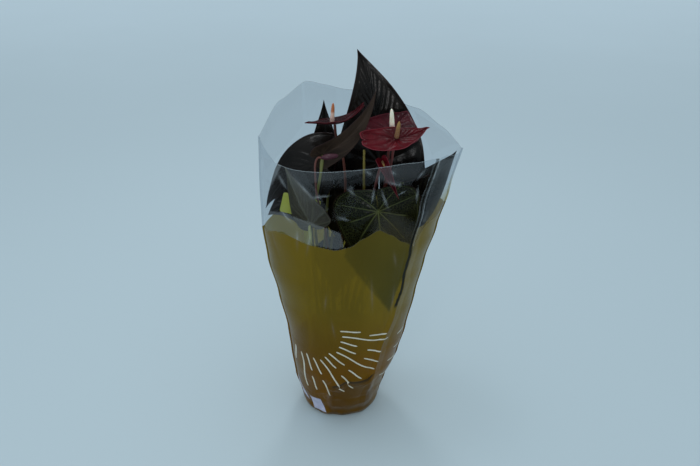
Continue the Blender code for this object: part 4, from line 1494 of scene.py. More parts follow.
# ---- pot and rootball -----------------------------------------------------------------------------
@dataclass
class Rootball:
    """The pot, the mix in it, the crown and what lies on the mix."""

    mix_floor: float = 0.0060
    mix_radius_low: float = 0.045
    mix_radius_top: float = 0.0624
    crown_height: float = 0.022
    crown_radius: float = 0.0105
    chips: int = 130
    beads: int = 46
    sheaths: int = 7

    clay = PlasticFinish("pot_brown_plastic", colour=(0.250, 0.085, 0.036), rubbed=(0.31, 0.125, 0.058))
    peat = FibreFinish("peat_crumb", dark=(0.014, 0.009, 0.006), middle=(0.050, 0.031, 0.018),
                       pale=(0.16, 0.11, 0.065))
    chip = FibreFinish("bark_chip", dark=(0.045, 0.026, 0.015), middle=(0.11, 0.065, 0.036),
                       pale=(0.22, 0.15, 0.09), scale=700.0, rise=0.5 * MM)
    pearl = FibreFinish("pumice_bead", dark=(0.42, 0.41, 0.38), middle=(0.60, 0.59, 0.55),
                        pale=(0.74, 0.73, 0.69), scale=1500.0, rise=0.3 * MM)
    bark = FibreFinish("crown_bark_skin", dark=(0.050, 0.034, 0.020), middle=(0.12, 0.085, 0.045),
                       pale=(0.24, 0.18, 0.10), scale=520.0, stretch=0.4)
    paper = FibreFinish("sheath_paper", dark=(0.10, 0.062, 0.034), middle=(0.19, 0.125, 0.07),
                        pale=(0.33, 0.24, 0.15), scale=520.0, rise=0.25 * MM, stretch=0.12)

    def build(self) -> None:
        """Dress the pot and build what fills it."""
        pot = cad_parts["pot"]
        for slot in pot.material_slots:
            slot.material = self.clay.material()
        LOG.info("pot: dressed in place")
        self.build_mix()
        self.build_crown()
        self.build_litter("bark_litter", self.chips, self.chip, 0.0021, 11, 0.45)
        self.build_litter("pumice_litter", self.beads, self.pearl, 0.0015, 23, 0.85)
        self.build_sheaths()

    def build_mix(self) -> None:
        """A crumbly-topped plug of mix."""
        sides, rings = 120, 44
        turn = turns(sides)
        levels = [(self.mix_radius_low, self.mix_floor), (self.mix_radius_top, MIX_TOP_Z - 0.004)]
        rows = [np.stack([r * np.cos(turn), r * np.sin(turn), np.full(sides, z)], axis=1) for r,
                z in levels]
        crumbs = random.Random(5)
        for k in np.linspace(0.985, 0.02, rings):
            row = []
            for angle in turn:
                x, y = self.mix_radius_top * k * math.cos(angle), self.mix_radius_top * k * math.sin(angle)
                lumps = 0.7 * MM * math.sin(610 * x + 3 * math.sin(540 * y))
                crumb = crumbs.uniform(-0.35, 0.35) * MM
                row.append((x, y, mix_height(x, y) + lumps + crumb - 0.8 * MM))
            rows.append(np.array(row))
        item = piece("potting_peat", np.concatenate(rows), capped_faces(len(rows), sides), [self.peat])
        settle(item, "peat", "potting_mix")

    def build_crown(self) -> None:
        """A knobbly stump ringed with old leaf scars."""
        rows, sides = 40, 56
        t = np.linspace(0.0, 1.0, rows)
        close = np.sqrt(np.maximum(0.001, 1 - ease(t, 0.82, 1.0)))
        profile = self.crown_radius * (1 - 0.5 * t ** 2) * close
        turn = turns(sides)
        knobs = 1 + 0.06 * np.sin(3 * turn + 9 * t[:, None]) + 0.05 * np.sin(t * 34)[:, None]
        ring = profile[:, None] * knobs
        base = mix_height(0.0, 0.0) - 0.001
        z = np.broadcast_to((base + (self.crown_height + 0.002) * t)[:, None], ring.shape)
        points = np.stack([ring * np.cos(turn), ring * np.sin(turn), z], axis=2).reshape(-1, 3)
        item = piece("crown_stump", points, capped_faces(rows, sides), [self.bark])
        settle(item, "crown_bark", "crown")

    def build_litter(self, name: str, count: int, finish: Finish, size: float, seed: int,
                     squash: float) -> None:
        """Crumbs scattered over the mix, joined into one piece.

        Args:
            name: The piece's name.
            count: How many crumbs.
            finish: Their finish.
            size: A crumb's usual radius.
            seed: Start of their random places.
            squash: Height over width.
        """
        dice = random.Random(seed)
        bm = bmesh.new()
        for _ in range(count):
            ring, angle = 0.060 * math.sqrt(dice.uniform(0.06, 1.0)), dice.uniform(0, 2 * math.pi)
            x, y = ring * math.cos(angle), ring * math.sin(angle)
            made = bmesh.ops.create_icosphere(bm, subdivisions=2, radius=size * dice.uniform(0.6, 1.5))
            long, phase, spin = dice.uniform(0.8, 1.7), dice.uniform(0, 6), dice.uniform(0, 3.1)
            for vert in made["verts"]:
                co = vert.co
                bumpy = 1 + 0.16 * math.sin(co.x * 2600 + phase) * math.cos(co.y * 2300 - phase)
                u, v = co.x * long * bumpy, co.y * bumpy
                vert.co = (x + u * math.cos(spin) - v * math.sin(spin),
                           y + u * math.sin(spin) + v * math.cos(spin),
                           mix_height(x, y) + co.z * squash * bumpy)
        bm.verts.index_update()
        points = np.array([v.co for v in bm.verts])
        faces = [[v.index for v in f.verts] for f in bm.faces]
        bm.free()
        settle(piece(name, points, faces, [finish]), "peat")

    def build_sheaths(self) -> None:
        """Dry papery bracts round the crown."""
        dice = random.Random(31)
        t, s = np.meshgrid(np.linspace(0.0, 1.0, 9), np.linspace(-1.0, 1.0, 7), indexing="ij")
        across = s * 0.0058 * np.sin(math.pi * (0.18 + 0.80 * t)) ** 0.8
        sheaths = []
        for i in range(self.sheaths):
            angle = 2 * math.pi * (i + 0.3) / self.sheaths
            tall, lean = dice.uniform(0.018, 0.030), dice.uniform(0.05, 0.35)
            ring = 0.0125 + lean * tall * t ** 2 - 0.0022 * s * s
            sheaths.append(np.stack([ring * math.cos(angle) - across * math.sin(angle),
                                     ring * math.sin(angle) + across * math.cos(angle),
                                     MIX_TOP_Z + 0.001 + tall * t], axis=-1))
        item = piece("crown_sheaths", *joined(sheaths), [self.paper])
        thicken(item, 0.25 * MM)
        settle(item, "crown_bark")


# ---- label ----------------------------------------------------------------------------------------
@dataclass
class CareLabel:
    """A wide blank card askew on a stick."""

    width: float = 0.068
    right_end: float = 0.019  # how far the card shows to the right of its middle
    height: float = 0.031
    rise: float = 0.265
    tilt: float = 14.0
    foot: tuple[float, float] = (-0.044, -0.032)
    corner: float = 0.0028
    wall: float = 0.6 * MM
    curl: float = 2.6  # of the card's right end, over the square of the way out

    lime = PlasticFinish("label_lime_plastic", colour=(0.40, 0.42, 0.055), rubbed=(0.46, 0.47, 0.10),
                         gloss=0.34, dust=0.1)

    def card(self, x: float, z: float) -> tuple[float, float]:
        """A place on the tilted card, from its middle."""
        turn = math.radians(-self.tilt)
        return x * math.cos(turn) - z * math.sin(turn), self.rise + x * math.sin(turn) + z * math.cos(turn)

    def outline(self) -> list[tuple[float, float]]:
        """Card with rounded corners and the top of its stick, clockwise from the stick's left foot.

        Returns:
            One row for each place.
        """
        half_x, half_z, r = self.width / 2, self.height / 2, self.corner
        corners = []
        for cx, cz, start in ((self.right_end - r, -half_z + r, -90), (self.right_end - r, half_z - r, 0),
                              (-half_x + r, half_z - r, 90), (-half_x + r, -half_z + r, 180)):
            for step in range(6):
                angle = math.radians(start + 90 * step / 5)
                corners.append(self.card(cx + r * math.cos(angle), cz + r * math.sin(angle)))
        neck = self.rise - self.height / 2
        return [(0.0, -0.004), (0.003, 0.004), (0.0032, neck - 0.02), (0.0055, neck - 0.0003), *corners,
                (-0.0055, neck + 0.0013), (-0.0032, neck - 0.02), (-0.003, 0.004)]

    def build(self) -> None:
        """Extrude the outline, cut it finely, curl its free end and stand it in the mix."""
        bm = bmesh.new()
        front = bm.faces.new([bm.verts.new((x, 0.0, z)) for x, z in self.outline()])
        grown = bmesh.ops.extrude_face_region(bm, geom=[front])
        moved = [v for v in grown["geom"] if isinstance(v, bmesh.types.BMVert)]
        bmesh.ops.translate(bm, verts=moved, vec=(0.0, self.wall, 0.0))
        bmesh.ops.recalc_face_normals(bm, faces=bm.faces)
        bmesh.ops.triangulate(bm, faces=bm.faces)
        for axis, count in (((1.0, 0.0, 0.0), 11), ((0.0, 0.0, 1.0), 24)):
            low, high = (-self.width / 2, self.width / 2) if axis[0] else (0.0, self.rise + self.height / 2)
            for i in range(1, count):
                at = low + (high - low) * i / count
                bmesh.ops.bisect_plane(bm, geom=bm.verts[:] + bm.edges[:] + bm.faces[:],
                                       plane_co=(at * axis[0], 0.0, at * axis[2]), plane_no=axis)
        for vert in bm.verts:
            curl = self.curl * max(0.0, vert.co.x) ** 2 * ease(vert.co.z, self.rise - 0.03, self.rise)
            vert.co.y += float(curl)
        points, faces = in_order(bm)
        bm.free()
        mesh = bpy.data.meshes.new("label_card")
        mesh.from_pydata(points, [], faces)
        mesh.materials.append(self.lime.material())
        item = bpy.data.objects.new("label_card", mesh)
        bpy.context.scene.collection.objects.link(item)
        item.location = (self.foot[0], self.foot[1] - 0.0003, mix_height(*self.foot) + 0.0024)
        item.rotation_euler = (math.radians(2), 0.0, math.radians(-4))
        settle(item, "label_lime", "care_label")


# ---- sleeve ---------------------------------------------------------------------------------------
class Side(Enum):
    """The sleeve's two panels; the value is the way each bulges along Y."""

    FRONT = -1
    BACK = 1


@dataclass(frozen=True)
class Crease:
    """A fold line creased into a panel, as seen on it: two ends across and up, and how it stands."""

    start: tuple[float, float]
    end: tuple[float, float]
    rise: float
    reach: float

    def lift(self, x: np.ndarray, h: np.ndarray) -> np.ndarray:
        """How far the film stands off at places on the panel.

        Args:
            x: Places across.
            h: Heights.

        Returns:
            How far it stands at each place.
        """
        leg = np.array(self.end) - np.array(self.start)
        length = float(np.hypot(*leg))
        t = ((x - self.start[0]) * leg[0] + (h - self.start[1]) * leg[1]) / length ** 2
        held = np.clip(t, 0.0, 1.0)
        away = np.hypot(x - self.start[0] - held * leg[0], h - self.start[1] - held * leg[1])
        fade = np.sin(math.pi * np.clip(t * 0.9 + 0.05, 0.0, 1.0))
        return self.rise * fade * np.exp(-away / self.reach)


def inward(corners: Table, x: np.ndarray, h: np.ndarray) -> np.ndarray:
    """How far inside a polygon places lie, negative outside it.

    Args:
        corners: The polygon's corners, across and up.
        x: The places across.
        h: Their heights.

    Returns:
        The distances to the nearest side.
    """
    away = np.full(x.shape, 1.0)
    inside = np.zeros(x.shape, bool)
    for (x0, h0), (x1, h1) in zip(corners, (*corners[1:], corners[0])):
        run, rise = x1 - x0, (h1 - h0) or 1e-9
        t = np.clip(((x - x0) * run + (h - h0) * rise) / (run * run + rise * rise), 0.0, 1.0)
        away = np.minimum(away, np.hypot(x - x0 - t * run, h - h0 - t * rise))
        inside ^= ((h0 > h) != (h1 > h)) & (x < x0 + (h - h0) * run / rise)
    return np.where(inside, away, -away)


@dataclass
class Sleeve:
    """Printed film sleeve: two panels welded along both sides and folded under the pot."""

    backing: bpy.types.Mesh  # the leaf that lies against the front panel, whose painted shade darkens the ink
    columns: int = 190
    rows: int = 300
    flat_top: float = 0.35
    flat_bottom: float = 0.20
    flat_length: float = 0.50
    seam_flange: float = 0.003
    boxy: float = 2.6
    pleat_depth: float = 0.0035
    tongue: float = 0.36
    back_tuck: float = 0.44
    stroke_width: float = 2.4 * MM
    leaf_shade_reach: float = 0.045  # how far behind the film a leaf still casts painted shade on it
    # height, left seam x, right seam x, front bulge, back bulge
    stations: tuple[tuple[float, ...], ...] = (
        (0.000, -0.0600, 0.0620, 0.0530, 0.0530),
        (0.012, -0.0630, 0.0650, 0.0550, 0.0545),
        (0.045, -0.0720, 0.0745, 0.0620, 0.0610),
        (0.095, -0.0775, 0.0940, 0.0720, 0.0700),
        (0.140, -0.0815, 0.1050, 0.0760, 0.0740),
        (0.205, -0.0935, 0.1175, 0.0790, 0.0770),
        (0.265, -0.1065, 0.1295, 0.0830, 0.0790),
        (0.320, -0.1120, 0.1445, 0.0860, 0.0800),
        (0.380, -0.1120, 0.1595, 0.0890, 0.0800),
        (0.460, -0.1095, 0.1770, 0.0900, 0.0790),
        (0.530, -0.1085, 0.1890, 0.0900, 0.0780),
    )
    # rim height by share across, print edge height by share across, and the pleat's share by height
    front_rim: Table = ((0.0, 0.460), (0.10, 0.442), (0.25, 0.443), (0.45, 0.449), (0.70, 0.457),
                        (0.88, 0.455), (1.0, 0.4424))
    back_rim: Table = ((0.0, 0.460), (0.09, 0.496), (0.21, 0.517), (0.30, 0.510), (0.43, 0.500),
                       (0.78, 0.477), (0.9, 0.457), (1.0, 0.4424))
    front_print: Table = ((0.0, 0.319), (0.04, 0.326), (0.10, 0.337), (0.17, 0.3405), (0.30, 0.3325),
                          (0.42, 0.328),
                          (0.50, 0.334), (0.56, 0.3465), (0.63, 0.360), (0.70, 0.3505), (0.78, 0.334),
                          (0.845, 0.3225), (0.89, 0.350), (1.0, 0.3605))
    back_print: Table = ((0.0, 0.319), (0.20, 0.336), (0.42, 0.350), (0.60, 0.330), (0.80, 0.334),
                         (1.0, 0.3605))
    pocket_edge: Table = ((-0.013, 0.072), (0.011, 0.084), (0.044, 0.0855), (0.056, 0.098))
    pleat: Table = ((0.0, 0.80), (0.06, 0.78), (0.14, 0.785), (0.205, 0.85), (0.25, 0.87), (0.33, 0.85),
                    (0.40, 0.845), (0.53, 0.88))

    # flat places between creases painted milky, a painted reflection: panel, how milky, corners across and
    # up
    facets: tuple[tuple[Side, float, Table], ...] = (
        (Side.FRONT, 0.75, ((-0.110, 0.358), (-0.071, 0.376), (-0.038, 0.371), (0.005, 0.358),
                            (0.010, 0.334),
                            (-0.001, 0.329), (-0.036, 0.333), (-0.076, 0.341), (-0.105, 0.324))),
        (Side.FRONT, 0.90, ((-0.106, 0.440), (-0.071, 0.446), (-0.089, 0.405), (-0.109, 0.358))),
        (Side.FRONT, 0.30, ((-0.071, 0.446), (-0.044, 0.446), (-0.009, 0.392), (-0.035, 0.364),
                            (-0.052, 0.391))),
        (Side.FRONT, 0.22, ((0.050, 0.438), (0.097, 0.422), (0.118, 0.460), (0.055, 0.455))),
        (Side.FRONT, 0.20, ((-0.048, 0.446), (0.049, 0.455), (0.045, 0.447), (0.011, 0.438),
                            (-0.040, 0.425))),
        (Side.FRONT, 0.45, ((0.130, 0.457), (0.171, 0.439), (0.155, 0.362), (0.129, 0.349),
                            (0.114, 0.361))),
        (Side.FRONT, 0.22, ((-0.009, 0.392), (0.020, 0.421), (0.033, 0.407), (0.017, 0.383),
                            (-0.007, 0.370))),
        (Side.BACK, 0.45, ((-0.108, 0.460), (-0.093, 0.485), (-0.051, 0.517), (-0.050, 0.451),
                           (-0.078, 0.419), (-0.106, 0.398))),
        (Side.BACK, 0.25, ((-0.049, 0.516), (-0.002, 0.503), (-0.002, 0.470), (-0.026, 0.487),
                           (-0.047, 0.451))),
        (Side.BACK, 0.40, ((0.108, 0.473), (0.146, 0.453), (0.169, 0.444), (0.147, 0.421), (0.137, 0.408))),
    )

    # the front's own folds
    plain_creases: tuple[Crease, ...] = (
        Crease((0.050, 0.438), (0.097, 0.422), 0.0016, 0.011),
        Crease((0.097, 0.422), (0.122, 0.452), 0.0014, 0.010),
        Crease((0.030, 0.452), (0.052, 0.437), -0.0012, 0.010),
        Crease((-0.088, 0.440), (-0.058, 0.400), 0.0016, 0.012),
        Crease((-0.072, 0.446), (-0.012, 0.386), -0.0013, 0.010),
        Crease((-0.058, 0.400), (0.014, 0.418), 0.0012, 0.010),
        Crease((-0.012, 0.386), (0.030, 0.372), 0.0012, 0.010),
        Crease((-0.090, 0.385), (-0.050, 0.352), -0.0012, 0.012),
        Crease((0.064, 0.453), (0.081, 0.438), 0.0013, 0.007),
        Crease((0.081, 0.438), (0.082, 0.418), 0.0013, 0.007),
        Crease((0.006, 0.431), (0.030, 0.409), 0.0016, 0.008),
        Crease((0.014, 0.431), (0.024, 0.418), -0.0012, 0.006),
        Crease((0.070, 0.409), (0.100, 0.421), 0.0014, 0.008),
        Crease((-0.109, 0.400), (-0.082, 0.416), 0.0012, 0.008),
        Crease((-0.0130, 0.072), (0.0108, 0.0838), 0.0032, 0.006),
        Crease((0.0108, 0.0838), (0.0440, 0.0850), 0.0032, 0.006),
        Crease((0.0440, 0.0850), (0.0560, 0.0520), 0.0022, 0.005),
        Crease((-0.0130, 0.072), (-0.0200, 0.0300), 0.0022, 0.006),
    )

    # corners of the blank patches low on the front, across and up
    blanks: tuple[Table, ...] = (
        ((-0.0640, 0.048), (-0.0690, 0.052), (-0.0600, 0.020), (-0.0480, 0.020)),
        ((-0.0470, 0.034), (-0.0300, 0.036), (-0.0210, 0.009), (-0.0400, 0.008)),
    )

    film = FilmFinish("sleeve_film")
    pale_ink = InkFinish("sleeve_pale_ink")
    blank_ink = InkFinish("sleeve_blank_ink", colour=(0.42, 0.43, 0.56), thin=(0.30, 0.31, 0.42))

    def station(self, h: np.ndarray) -> list[np.ndarray]:
        """Left seam, right seam, front bulge and back bulge at each height."""
        return [along([(s[0], s[k]) for s in self.stations], h) for k in (1, 2, 3, 4)]

    @staticmethod
    def pot_radius(z: np.ndarray) -> np.ndarray:
        """Outer radius of the pot's tapered wall above its own base."""
        return POT_FOOT + (POT_TOP - POT_FOOT) * z / POT_HEIGHT

    @staticmethod
    def wrap(x: np.ndarray, left: np.ndarray, right: np.ndarray, radius: np.ndarray) -> np.ndarray:
        """Distance from the middle plane that film stretched round a circle takes.

        Args:
            x: Places across.
            left: Where the film leaves the left seam.
            right: Where it leaves the right seam.
            radius: The circle's radius.

        Returns:
            The distances, 0 where there is no circle.
        """
        r = np.maximum(radius, 1e-6)
        out = np.sqrt(np.maximum(0.0, r * r - x * x))
        for seam, sign in ((left, -1), (right, 1)):
            touch = r * r / np.abs(seam)
            rise = np.sqrt(np.maximum(0.0, r * r - touch * touch))
            straight = rise * np.maximum(0.0, (np.abs(seam) - x * sign) / (np.abs(seam) - touch))
            out = np.where(x * sign > touch, straight, out)
        return np.where(radius > 0, out, 0.0)

    def creases(self, side: Side) -> list[Crease]:
        """Fold lines of a panel: the plain ones, then small ones scattered where film crumples most.

        Args:
            side: Which panel.

        Returns:
            The folds.
        """
        dice = random.Random(17 if side is Side.FRONT else 29)
        found = list(self.plain_creases) if side is Side.FRONT else []
        for _ in range(26):
            x, h = dice.uniform(-0.055, 0.060), dice.uniform(0.004, 0.085)
            angle, long = dice.uniform(0, math.pi), dice.uniform(0.014, 0.040)
            end = (x + long * math.cos(angle), max(0.002, h + long * 0.7 * math.sin(angle)))
            found.append(Crease((x, h), end, dice.uniform(0.4, 1.5) * MM * dice.choice((-1, 1, 1)), 0.0045))
        for _ in range(12):
            x, h = dice.uniform(-0.085, 0.120), dice.uniform(0.15, 0.42)
            angle, long = dice.uniform(0.9, 2.2), dice.uniform(0.05, 0.13)
            end = (x + long * math.cos(angle) * 0.5, h + long * math.sin(angle))
            found.append(Crease((x, h), end, dice.uniform(0.3, 0.9) * MM * dice.choice((-1, 1)), 0.010))
        return found

    def surface(self, side: Side, u: np.ndarray, h: np.ndarray,
                off: float = 0.0) -> tuple[np.ndarray, dict[str, np.ndarray]]:
        """Points of a panel by share across and height, with what its material reads there.

        Args:
            side: Which panel.
            u: Shares across, 0 at the left seam and 1 at the right one.
            h: Heights.
            off: How far outside the film.

        Returns:
            The points, and the crease, fold, facet and pocket marks.
        """
        left, right, bulge_front, bulge_back = self.station(h)
        low = np.minimum(h, 0.121)
        inner = self.pot_radius(low) + 0.0036 + 0.019 * low - 0.34 * np.maximum(0.0, h - 0.124)
        x = left + (right - left) * u
        flange = self.seam_flange * np.minimum(1.0, h / 0.03)
        flat = flange / (right - left)
        share = np.clip((u - flat) / (1 - 2 * flat), 0.0, 1.0)
        bulge = bulge_front if side is Side.FRONT else bulge_back
        y = bulge * np.maximum(0.0, 1 - np.abs(2 * share - 1) ** self.boxy) ** 0.64
        y = np.maximum(y, self.wrap(x, left + flange, right - flange, inner))
        inside = np.minimum(share, 1 - share) * (right - left)
        calm = ease(inside, 0.0, 0.022)
        stand, ridge = np.zeros_like(y), np.zeros_like(y)
        for crease in self.creases(side):
            lift = crease.lift(x, h)
            stand += lift
            near = np.abs(lift / crease.rise)
            ridge = np.maximum(ridge, near * np.exp(-(1 - near) * 9))
        stand += 0.9 * MM * np.sin(x * 95 + 1.1 * np.sin(h * 21)) * ease(h, 0.16, 0.30)
        stand += 0.8 * MM * np.sin(x * 210 - h * 60) * ease(h, 0.06, 0.0)
        # the same milky mark along each seam's flange
        facet = 0.5 * (1 - ease(inside, 0.0, 1.2 * MM)) * ease(h, 0.02, 0.06)
        # painted reflection: the listed facets are made milky
        for where, milky, corners in self.facets:
            if where is side:
                depth = inward(corners, x, h)
                facet = np.maximum(facet, milky * ease(depth, 0.0, 1.6 * MM))
                stand += 0.5 * MM * ease(depth, 0.0, 3.5 * MM)
        roll = np.exp(-((h - 0.0095) / 0.0060) ** 2)
        stand += 2.2 * MM * roll * (1 + 0.35 * np.sin(x * 260 + 1.0))
        fold, pocket = np.zeros_like(y), np.zeros_like(y)
        if side is Side.FRONT:
            edge = np.interp(x, *np.array(self.pocket_edge).T)
            pocket = ease(edge - h, 0.0, 1.4 * MM) * ease(x, -0.021, -0.010) * (1 - ease(x, 0.046, 0.056))
            stand += 6.0 * MM * pocket * ease(h, 0.004, 0.034)
            window = ease(x, -0.016, -0.008) * (1 - ease(x, 0.050, 0.058))
            # painted shade along the pocket's fold
            fold = 0.95 * np.exp(-((edge - h + 0.3 * MM) / (1.4 * MM)) ** 2) * window
            from_pleat = (share - along(self.pleat, h)) * (right - left)
            slope = np.maximum(0.0, 1 - np.abs(from_pleat) / 0.009)
            stand += self.pleat_depth * slope * np.minimum(1.0, h / 0.05)
            # painted shade in the deep fold beside the pleat
            strip = ease(from_pleat, -0.0056, -0.0048) * (1 - ease(from_pleat, -0.0012, -0.0004))
            fold = np.maximum(fold, strip * ease(h, 0.212, 0.222))
            # painted highlight along the pleat's crest, carried in the crease mark
            bright = np.exp(-((from_pleat - 0.0006) / 0.0008) ** 2) * ease(h, 0.08, 0.14)
            ridge = np.maximum(ridge * calm, bright)
        y = y + stand * calm + GAP / 2 + off
        marks = {"crease": np.clip(ridge, 0.0, 1.0), "fold": fold, "facet": facet, "pocket": pocket}
        return np.stack([x, side.value * y, h], axis=-1), marks

    def rim(self, side: Side) -> Table:
        """The panel's rim table."""
        return self.front_rim if side is Side.FRONT else self.back_rim

    def build_panel(self, side: Side) -> bpy.types.Object:
        """One panel from its fold under the pot to its rim.

        Args:
            side: Which panel.

        Returns:
            The film's mesh.
        """
        name = f"film_{side.name.lower()}"
        u = np.linspace(0.0, 1.0, self.columns)
        rim = along(self.rim(side), u) + 0.5 * MM * np.sin(u * 31)
        start = FILM_WALL + 0.0024
        t = np.linspace(0.0, 1.0, self.rows)[:, None] ** 1.12
        h = start + (rim[None] - start) * t
        points, marks = self.surface(side, np.broadcast_to(u, h.shape), h)
        edge = along(self.front_print if side is Side.FRONT else self.back_print, u)[None]
        across = np.broadcast_to(u, h.shape)
        wash, leaf_shade = np.zeros_like(h), np.zeros_like(h)
        if side is Side.FRONT:
            wash = ease(across, 0.52, 0.70) * ease(h - edge, 0.055, 0.0)
            # painted shade from the hanging leaf behind the front panel
            leaf_shade = self.leaf_shade(points)
        marks |= {"above_print": h - edge, "below_rim": rim[None] - h, "wash": wash, "leaf_shade": leaf_shade}
        tuck = self.tuck(side, u, points[0])
        bottom = {key: np.broadcast_to(values[0], tuck.shape[:2]) for key, values in marks.items()}
        points = np.concatenate([tuck, points]).reshape(-1, 3)
        marks = {key: np.concatenate([bottom[key], marks[key]]).ravel() for key in marks}
        faces = grid_faces(len(points) // self.columns, self.columns)
        if side is Side.BACK:
            faces = [tuple(reversed(f)) for f in faces]
        item = piece(name, points, faces, [self.film], marks)
        settle(item, "film_print", f"sleeve_{side.name.lower()}")
        return item

    def leaf_shade(self, points: np.ndarray) -> np.ndarray:
        """Painted shade that the hanging leaf casts on the front panel, 1 where it touches.

        Args:
            points: The panel's points, row by row.

        Returns:
            A share for each point, smoothed over its neighbours.
        """
        leaf = self.backing
        tree = BVHTree.FromPolygons([v.co for v in leaf.vertices], [p.vertices for p in leaf.polygons])
        found = np.zeros(points.shape[:2])
        for place in np.ndindex(found.shape):
            gap = tree.ray_cast(Vector(points[place]), Vector((0.0, 1.0, 0.0)), self.leaf_shade_reach)[3]
            found[place] = 0.0 if gap is None else 1.0 - 0.5 * gap / self.leaf_shade_reach
        for _ in range(2):
            wide = np.pad(found, 1, mode="edge")
            beside = wide[:-2, 1:-1] + wide[2:, 1:-1] + wide[1:-1, :-2] + wide[1:-1, 2:]
            found = (beside + 2 * found) / 6
        return found

    def tuck(self, side: Side, u: np.ndarray, lowest: np.ndarray) -> np.ndarray:
        """Rows of film under the pot, from the fold's free edge out to the panel's lowest row.

        Args:
            side: Which panel.
            u: Shares across.
            lowest: The panel's lowest row.

        Returns:
            Rows of points.
        """
        span = np.abs(self.surface(side, u, np.zeros_like(u))[0][:, 1]) - GAP / 2
        middle = np.sin(math.pi * u) ** 2
        stop = np.full_like(u, self.back_tuck)
        if side is Side.FRONT:
            stop = 0.14 - (0.14 + self.tongue) * middle
        x = self.station(np.zeros_like(u))
        flat_x = x[0] + (x[1] - x[0]) * u
        rows = []
        for share in np.linspace(0.0, 1.0, 26):
            k = stop + (0.955 - stop) * share
            wrinkle = 0.16 * MM * np.sin(u * 70 + share * 9) * share * (1 - share) * 4
            y = side.value * (GAP / 2 + span * k)
            rows.append(np.stack([flat_x * (0.82 + 0.135 * share), y, 0.45 * MM + wrinkle], axis=-1))
        outer = rows[-1]
        for turn in (0.35, 0.7):
            bent = outer * (1 - turn) + lowest * turn
            bent[:, 2] = outer[:, 2] + (lowest[:, 2] - outer[:, 2]) * turn ** 2
            rows.append(bent)
        return np.stack(rows)

    def strip(self, side: Side, line: np.ndarray, width: float) -> tuple[np.ndarray, np.ndarray]:
        """A ribbon laid on the film along a line of places across and up.

        Args:
            side: Which panel.
            line: The places.
            width: The ribbon's width.

        Returns:
            Rows of three points, and whether each row lies on the panel.
        """
        way = unit(np.gradient(line, axis=0))
        normal = np.stack([-way[:, 1], way[:, 0]], axis=1)
        ends = np.minimum(np.arange(len(line)), np.arange(len(line))[::-1])
        half = width / 2 * np.minimum(1.0, 0.55 + 0.45 * ends)
        rows = [line + normal * (half * s)[:, None] for s in (-1.0, 0.0, 1.0)]
        flat = np.stack(rows, axis=1).reshape(-1, 2)
        left, right, _, _ = self.station(flat[:, 1])
        u = (flat[:, 0] - left) / (right - left)
        points, _ = self.surface(side, np.clip(u, 0.0, 1.0), np.maximum(flat[:, 1], 0.0035), 0.25 * MM)
        good = ((u > 0.03) & (u < 0.985) & (flat[:, 1] > 0.006)).reshape(-1, 3).all(axis=1)
        return points.reshape(-1, 3, 3), good

    def build_rays(self, side: Side) -> None:
        """Plain pale dashes that fan out over the lower half of a panel.

        Args:
            side: Which panel.
        """
        centre = np.array([-0.064, 0.192]) if side is Side.FRONT else np.array([0.070, 0.200])
        sweep = 1 if side is Side.FRONT else -1
        dice = random.Random(3)
        dashes = []
        for k in range(13):
            angle = math.radians(-5 - 8.0 * k)
            first = 0.070 + dice.uniform(-0.006, 0.006)
            if k % 3 == 1:
                dashes.append((angle, first, first + 0.070, 0.0014))
            else:
                dashes.append((angle, first, first + 0.026 + dice.uniform(0, 0.008), 0.0003))
                lower = 0.02 if k else 0.06
                dashes.append((angle - lower, first + 0.044, first + 0.066 + dice.uniform(0, 0.012),
                               0.0004))
        for k in range(4):
            dashes.append((math.radians(-14 - 9 * k), 0.158 + 0.003 * k, 0.178 + 0.002 * k, 0.0003))
        ribbons = []
        for angle, near, far, sway in dashes:
            r = np.linspace(near, far, max(6, int((far - near) / 0.0020)))
            bent = angle + sway / r * np.sin((r - near) / (far - near) * 2 * math.pi) + 0.25 * (r - near)
            line = centre + np.stack([sweep * r * np.cos(bent), r * np.sin(bent)], axis=1)
            ribbon, good = self.strip(side, line, self.stroke_width)
            if good.sum() >= 4:
                ribbons.append(ribbon[good])
        item = piece(f"ray_print_{side.name.lower()}", *joined(ribbons), [self.pale_ink])
        settle(item, "film_print")

    def build_blank(self) -> None:
        """Blank pale patches low on the front."""
        s, t = (v[..., None] for v in np.meshgrid(np.linspace(0, 1, 14), np.linspace(0, 1, 16)))
        patches = []
        for corners in self.blanks:
            a, b, c, d = (np.array(p) for p in corners)
            flat = (a + (b - a) * s) * (1 - t) + (d + (c - d) * s) * t
            x, h = flat[..., 0], flat[..., 1]
            left, right, _, _ = self.station(h)
            patches.append(self.surface(Side.FRONT, (x - left) / (right - left), h, 0.22 * MM)[0])
        item = piece("blank_print", *joined(patches), [self.blank_ink])
        settle(item, "film_print")

    def build(self) -> None:
        """Both panels and what is printed on them."""
        for side in Side:
            film = self.build_panel(side)
            self.build_rays(side)
        self.build_blank()


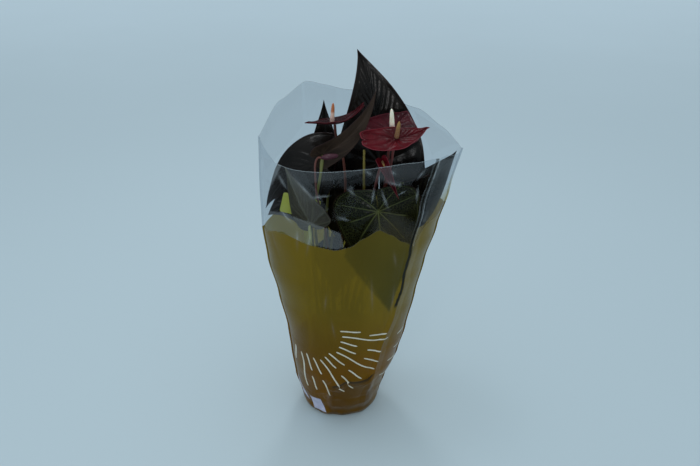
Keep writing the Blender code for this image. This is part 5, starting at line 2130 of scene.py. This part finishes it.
# ---- studio ---------------------------------------------------------------------------------------
@dataclass
class Studio:
    """Floor, soft lights and the camera."""

    lens: float = 38.06
    camera_at: Point = (0.017, -0.953, 0.84)
    look_down: float = 29.2
    aim: Point = (0.03, 0.0, 0.28)
    floor_reach: float = 14.0
    sky_colour: Colour = (0.82, 0.93, 1.0)
    sky_strength: float = 0.79
    # name, place, size, watts and tint of each soft box
    boxes: tuple[tuple[str, Point, tuple[float, float], float, Colour], ...] = (
        ("top_box", (-0.30, 0.10, 1.70), (0.30, 0.24), 1.7, (0.95, 0.98, 1.0)),
        ("front_box", (-0.40, -1.30, 0.52), (0.25, 0.25), 2.2, (1.0, 0.98, 0.96)),
        ("back_box", (-0.05, 0.75, 1.38), (0.22, 0.20), 2.2, (0.94, 0.98, 1.0)),
    )

    floor = FloorFinish("studio_floor")

    def light(self, name: str, at: Point, size: tuple[float, float], power: float, colour: Colour) -> None:
        """A soft box aimed at the plant.

        Args:
            name: The light's name.
            at: Where it hangs.
            size: Its width and height.
            power: Watts.
            colour: Its tint.
        """
        lamp = bpy.data.lights.new(name, "AREA")
        lamp.shape = "RECTANGLE"
        lamp.size, lamp.size_y = size
        lamp.energy = power
        lamp.color = colour
        item = bpy.data.objects.new(name, lamp)
        bpy.context.scene.collection.objects.link(item)
        item.location = at
        item.rotation_euler = (Vector(self.aim) - Vector(at)).to_track_quat("-Z", "Y").to_euler()

    def build(self) -> None:
        """Set the stage round the plant."""
        scene = bpy.context.scene
        scene.view_settings.view_transform = "Standard"
        corners = [(x * self.floor_reach, y * self.floor_reach, -GAP) for y in (-1, 1) for x in (-1, 1)]
        ground = piece("floor", np.array(corners), [(0, 1, 3, 2)], [self.floor])
        world = scene.world or bpy.data.worlds.new("studio")
        scene.world = world
        world.use_nodes = True
        sky = world.node_tree.nodes["Background"]
        sky.inputs["Color"].default_value = (*self.sky_colour, 1.0)
        sky.inputs["Strength"].default_value = self.sky_strength
        for name, at, size, power, colour in self.boxes:
            self.light(name, at, size, power, colour)
        lens = bpy.data.cameras.new("camera")
        lens.lens = self.lens
        lens.sensor_width = 36.0
        eye = bpy.data.objects.new("camera", lens)
        scene.collection.objects.link(eye)
        eye.location = self.camera_at
        eye.rotation_euler = (math.radians(90 - self.look_down), 0.0, 0.0)
        scene.camera = eye


def main() -> None:
    """Build the studio, then the plant from its roots to its sleeve."""
    logging.basicConfig(level=logging.INFO, format="%(name)s: %(message)s")
    Studio().build()
    foliage = Foliage()
    flowers = Flowers()
    Rootball().build()
    foliage.build()
    flowers.build()
    Stalks(foliage).build(flowers.spathes, flowers.cad_wall)
    CareLabel().build()
    Sleeve(bpy.data.objects["blade_front"].data).build()


if __name__ == "__main__":
    main()
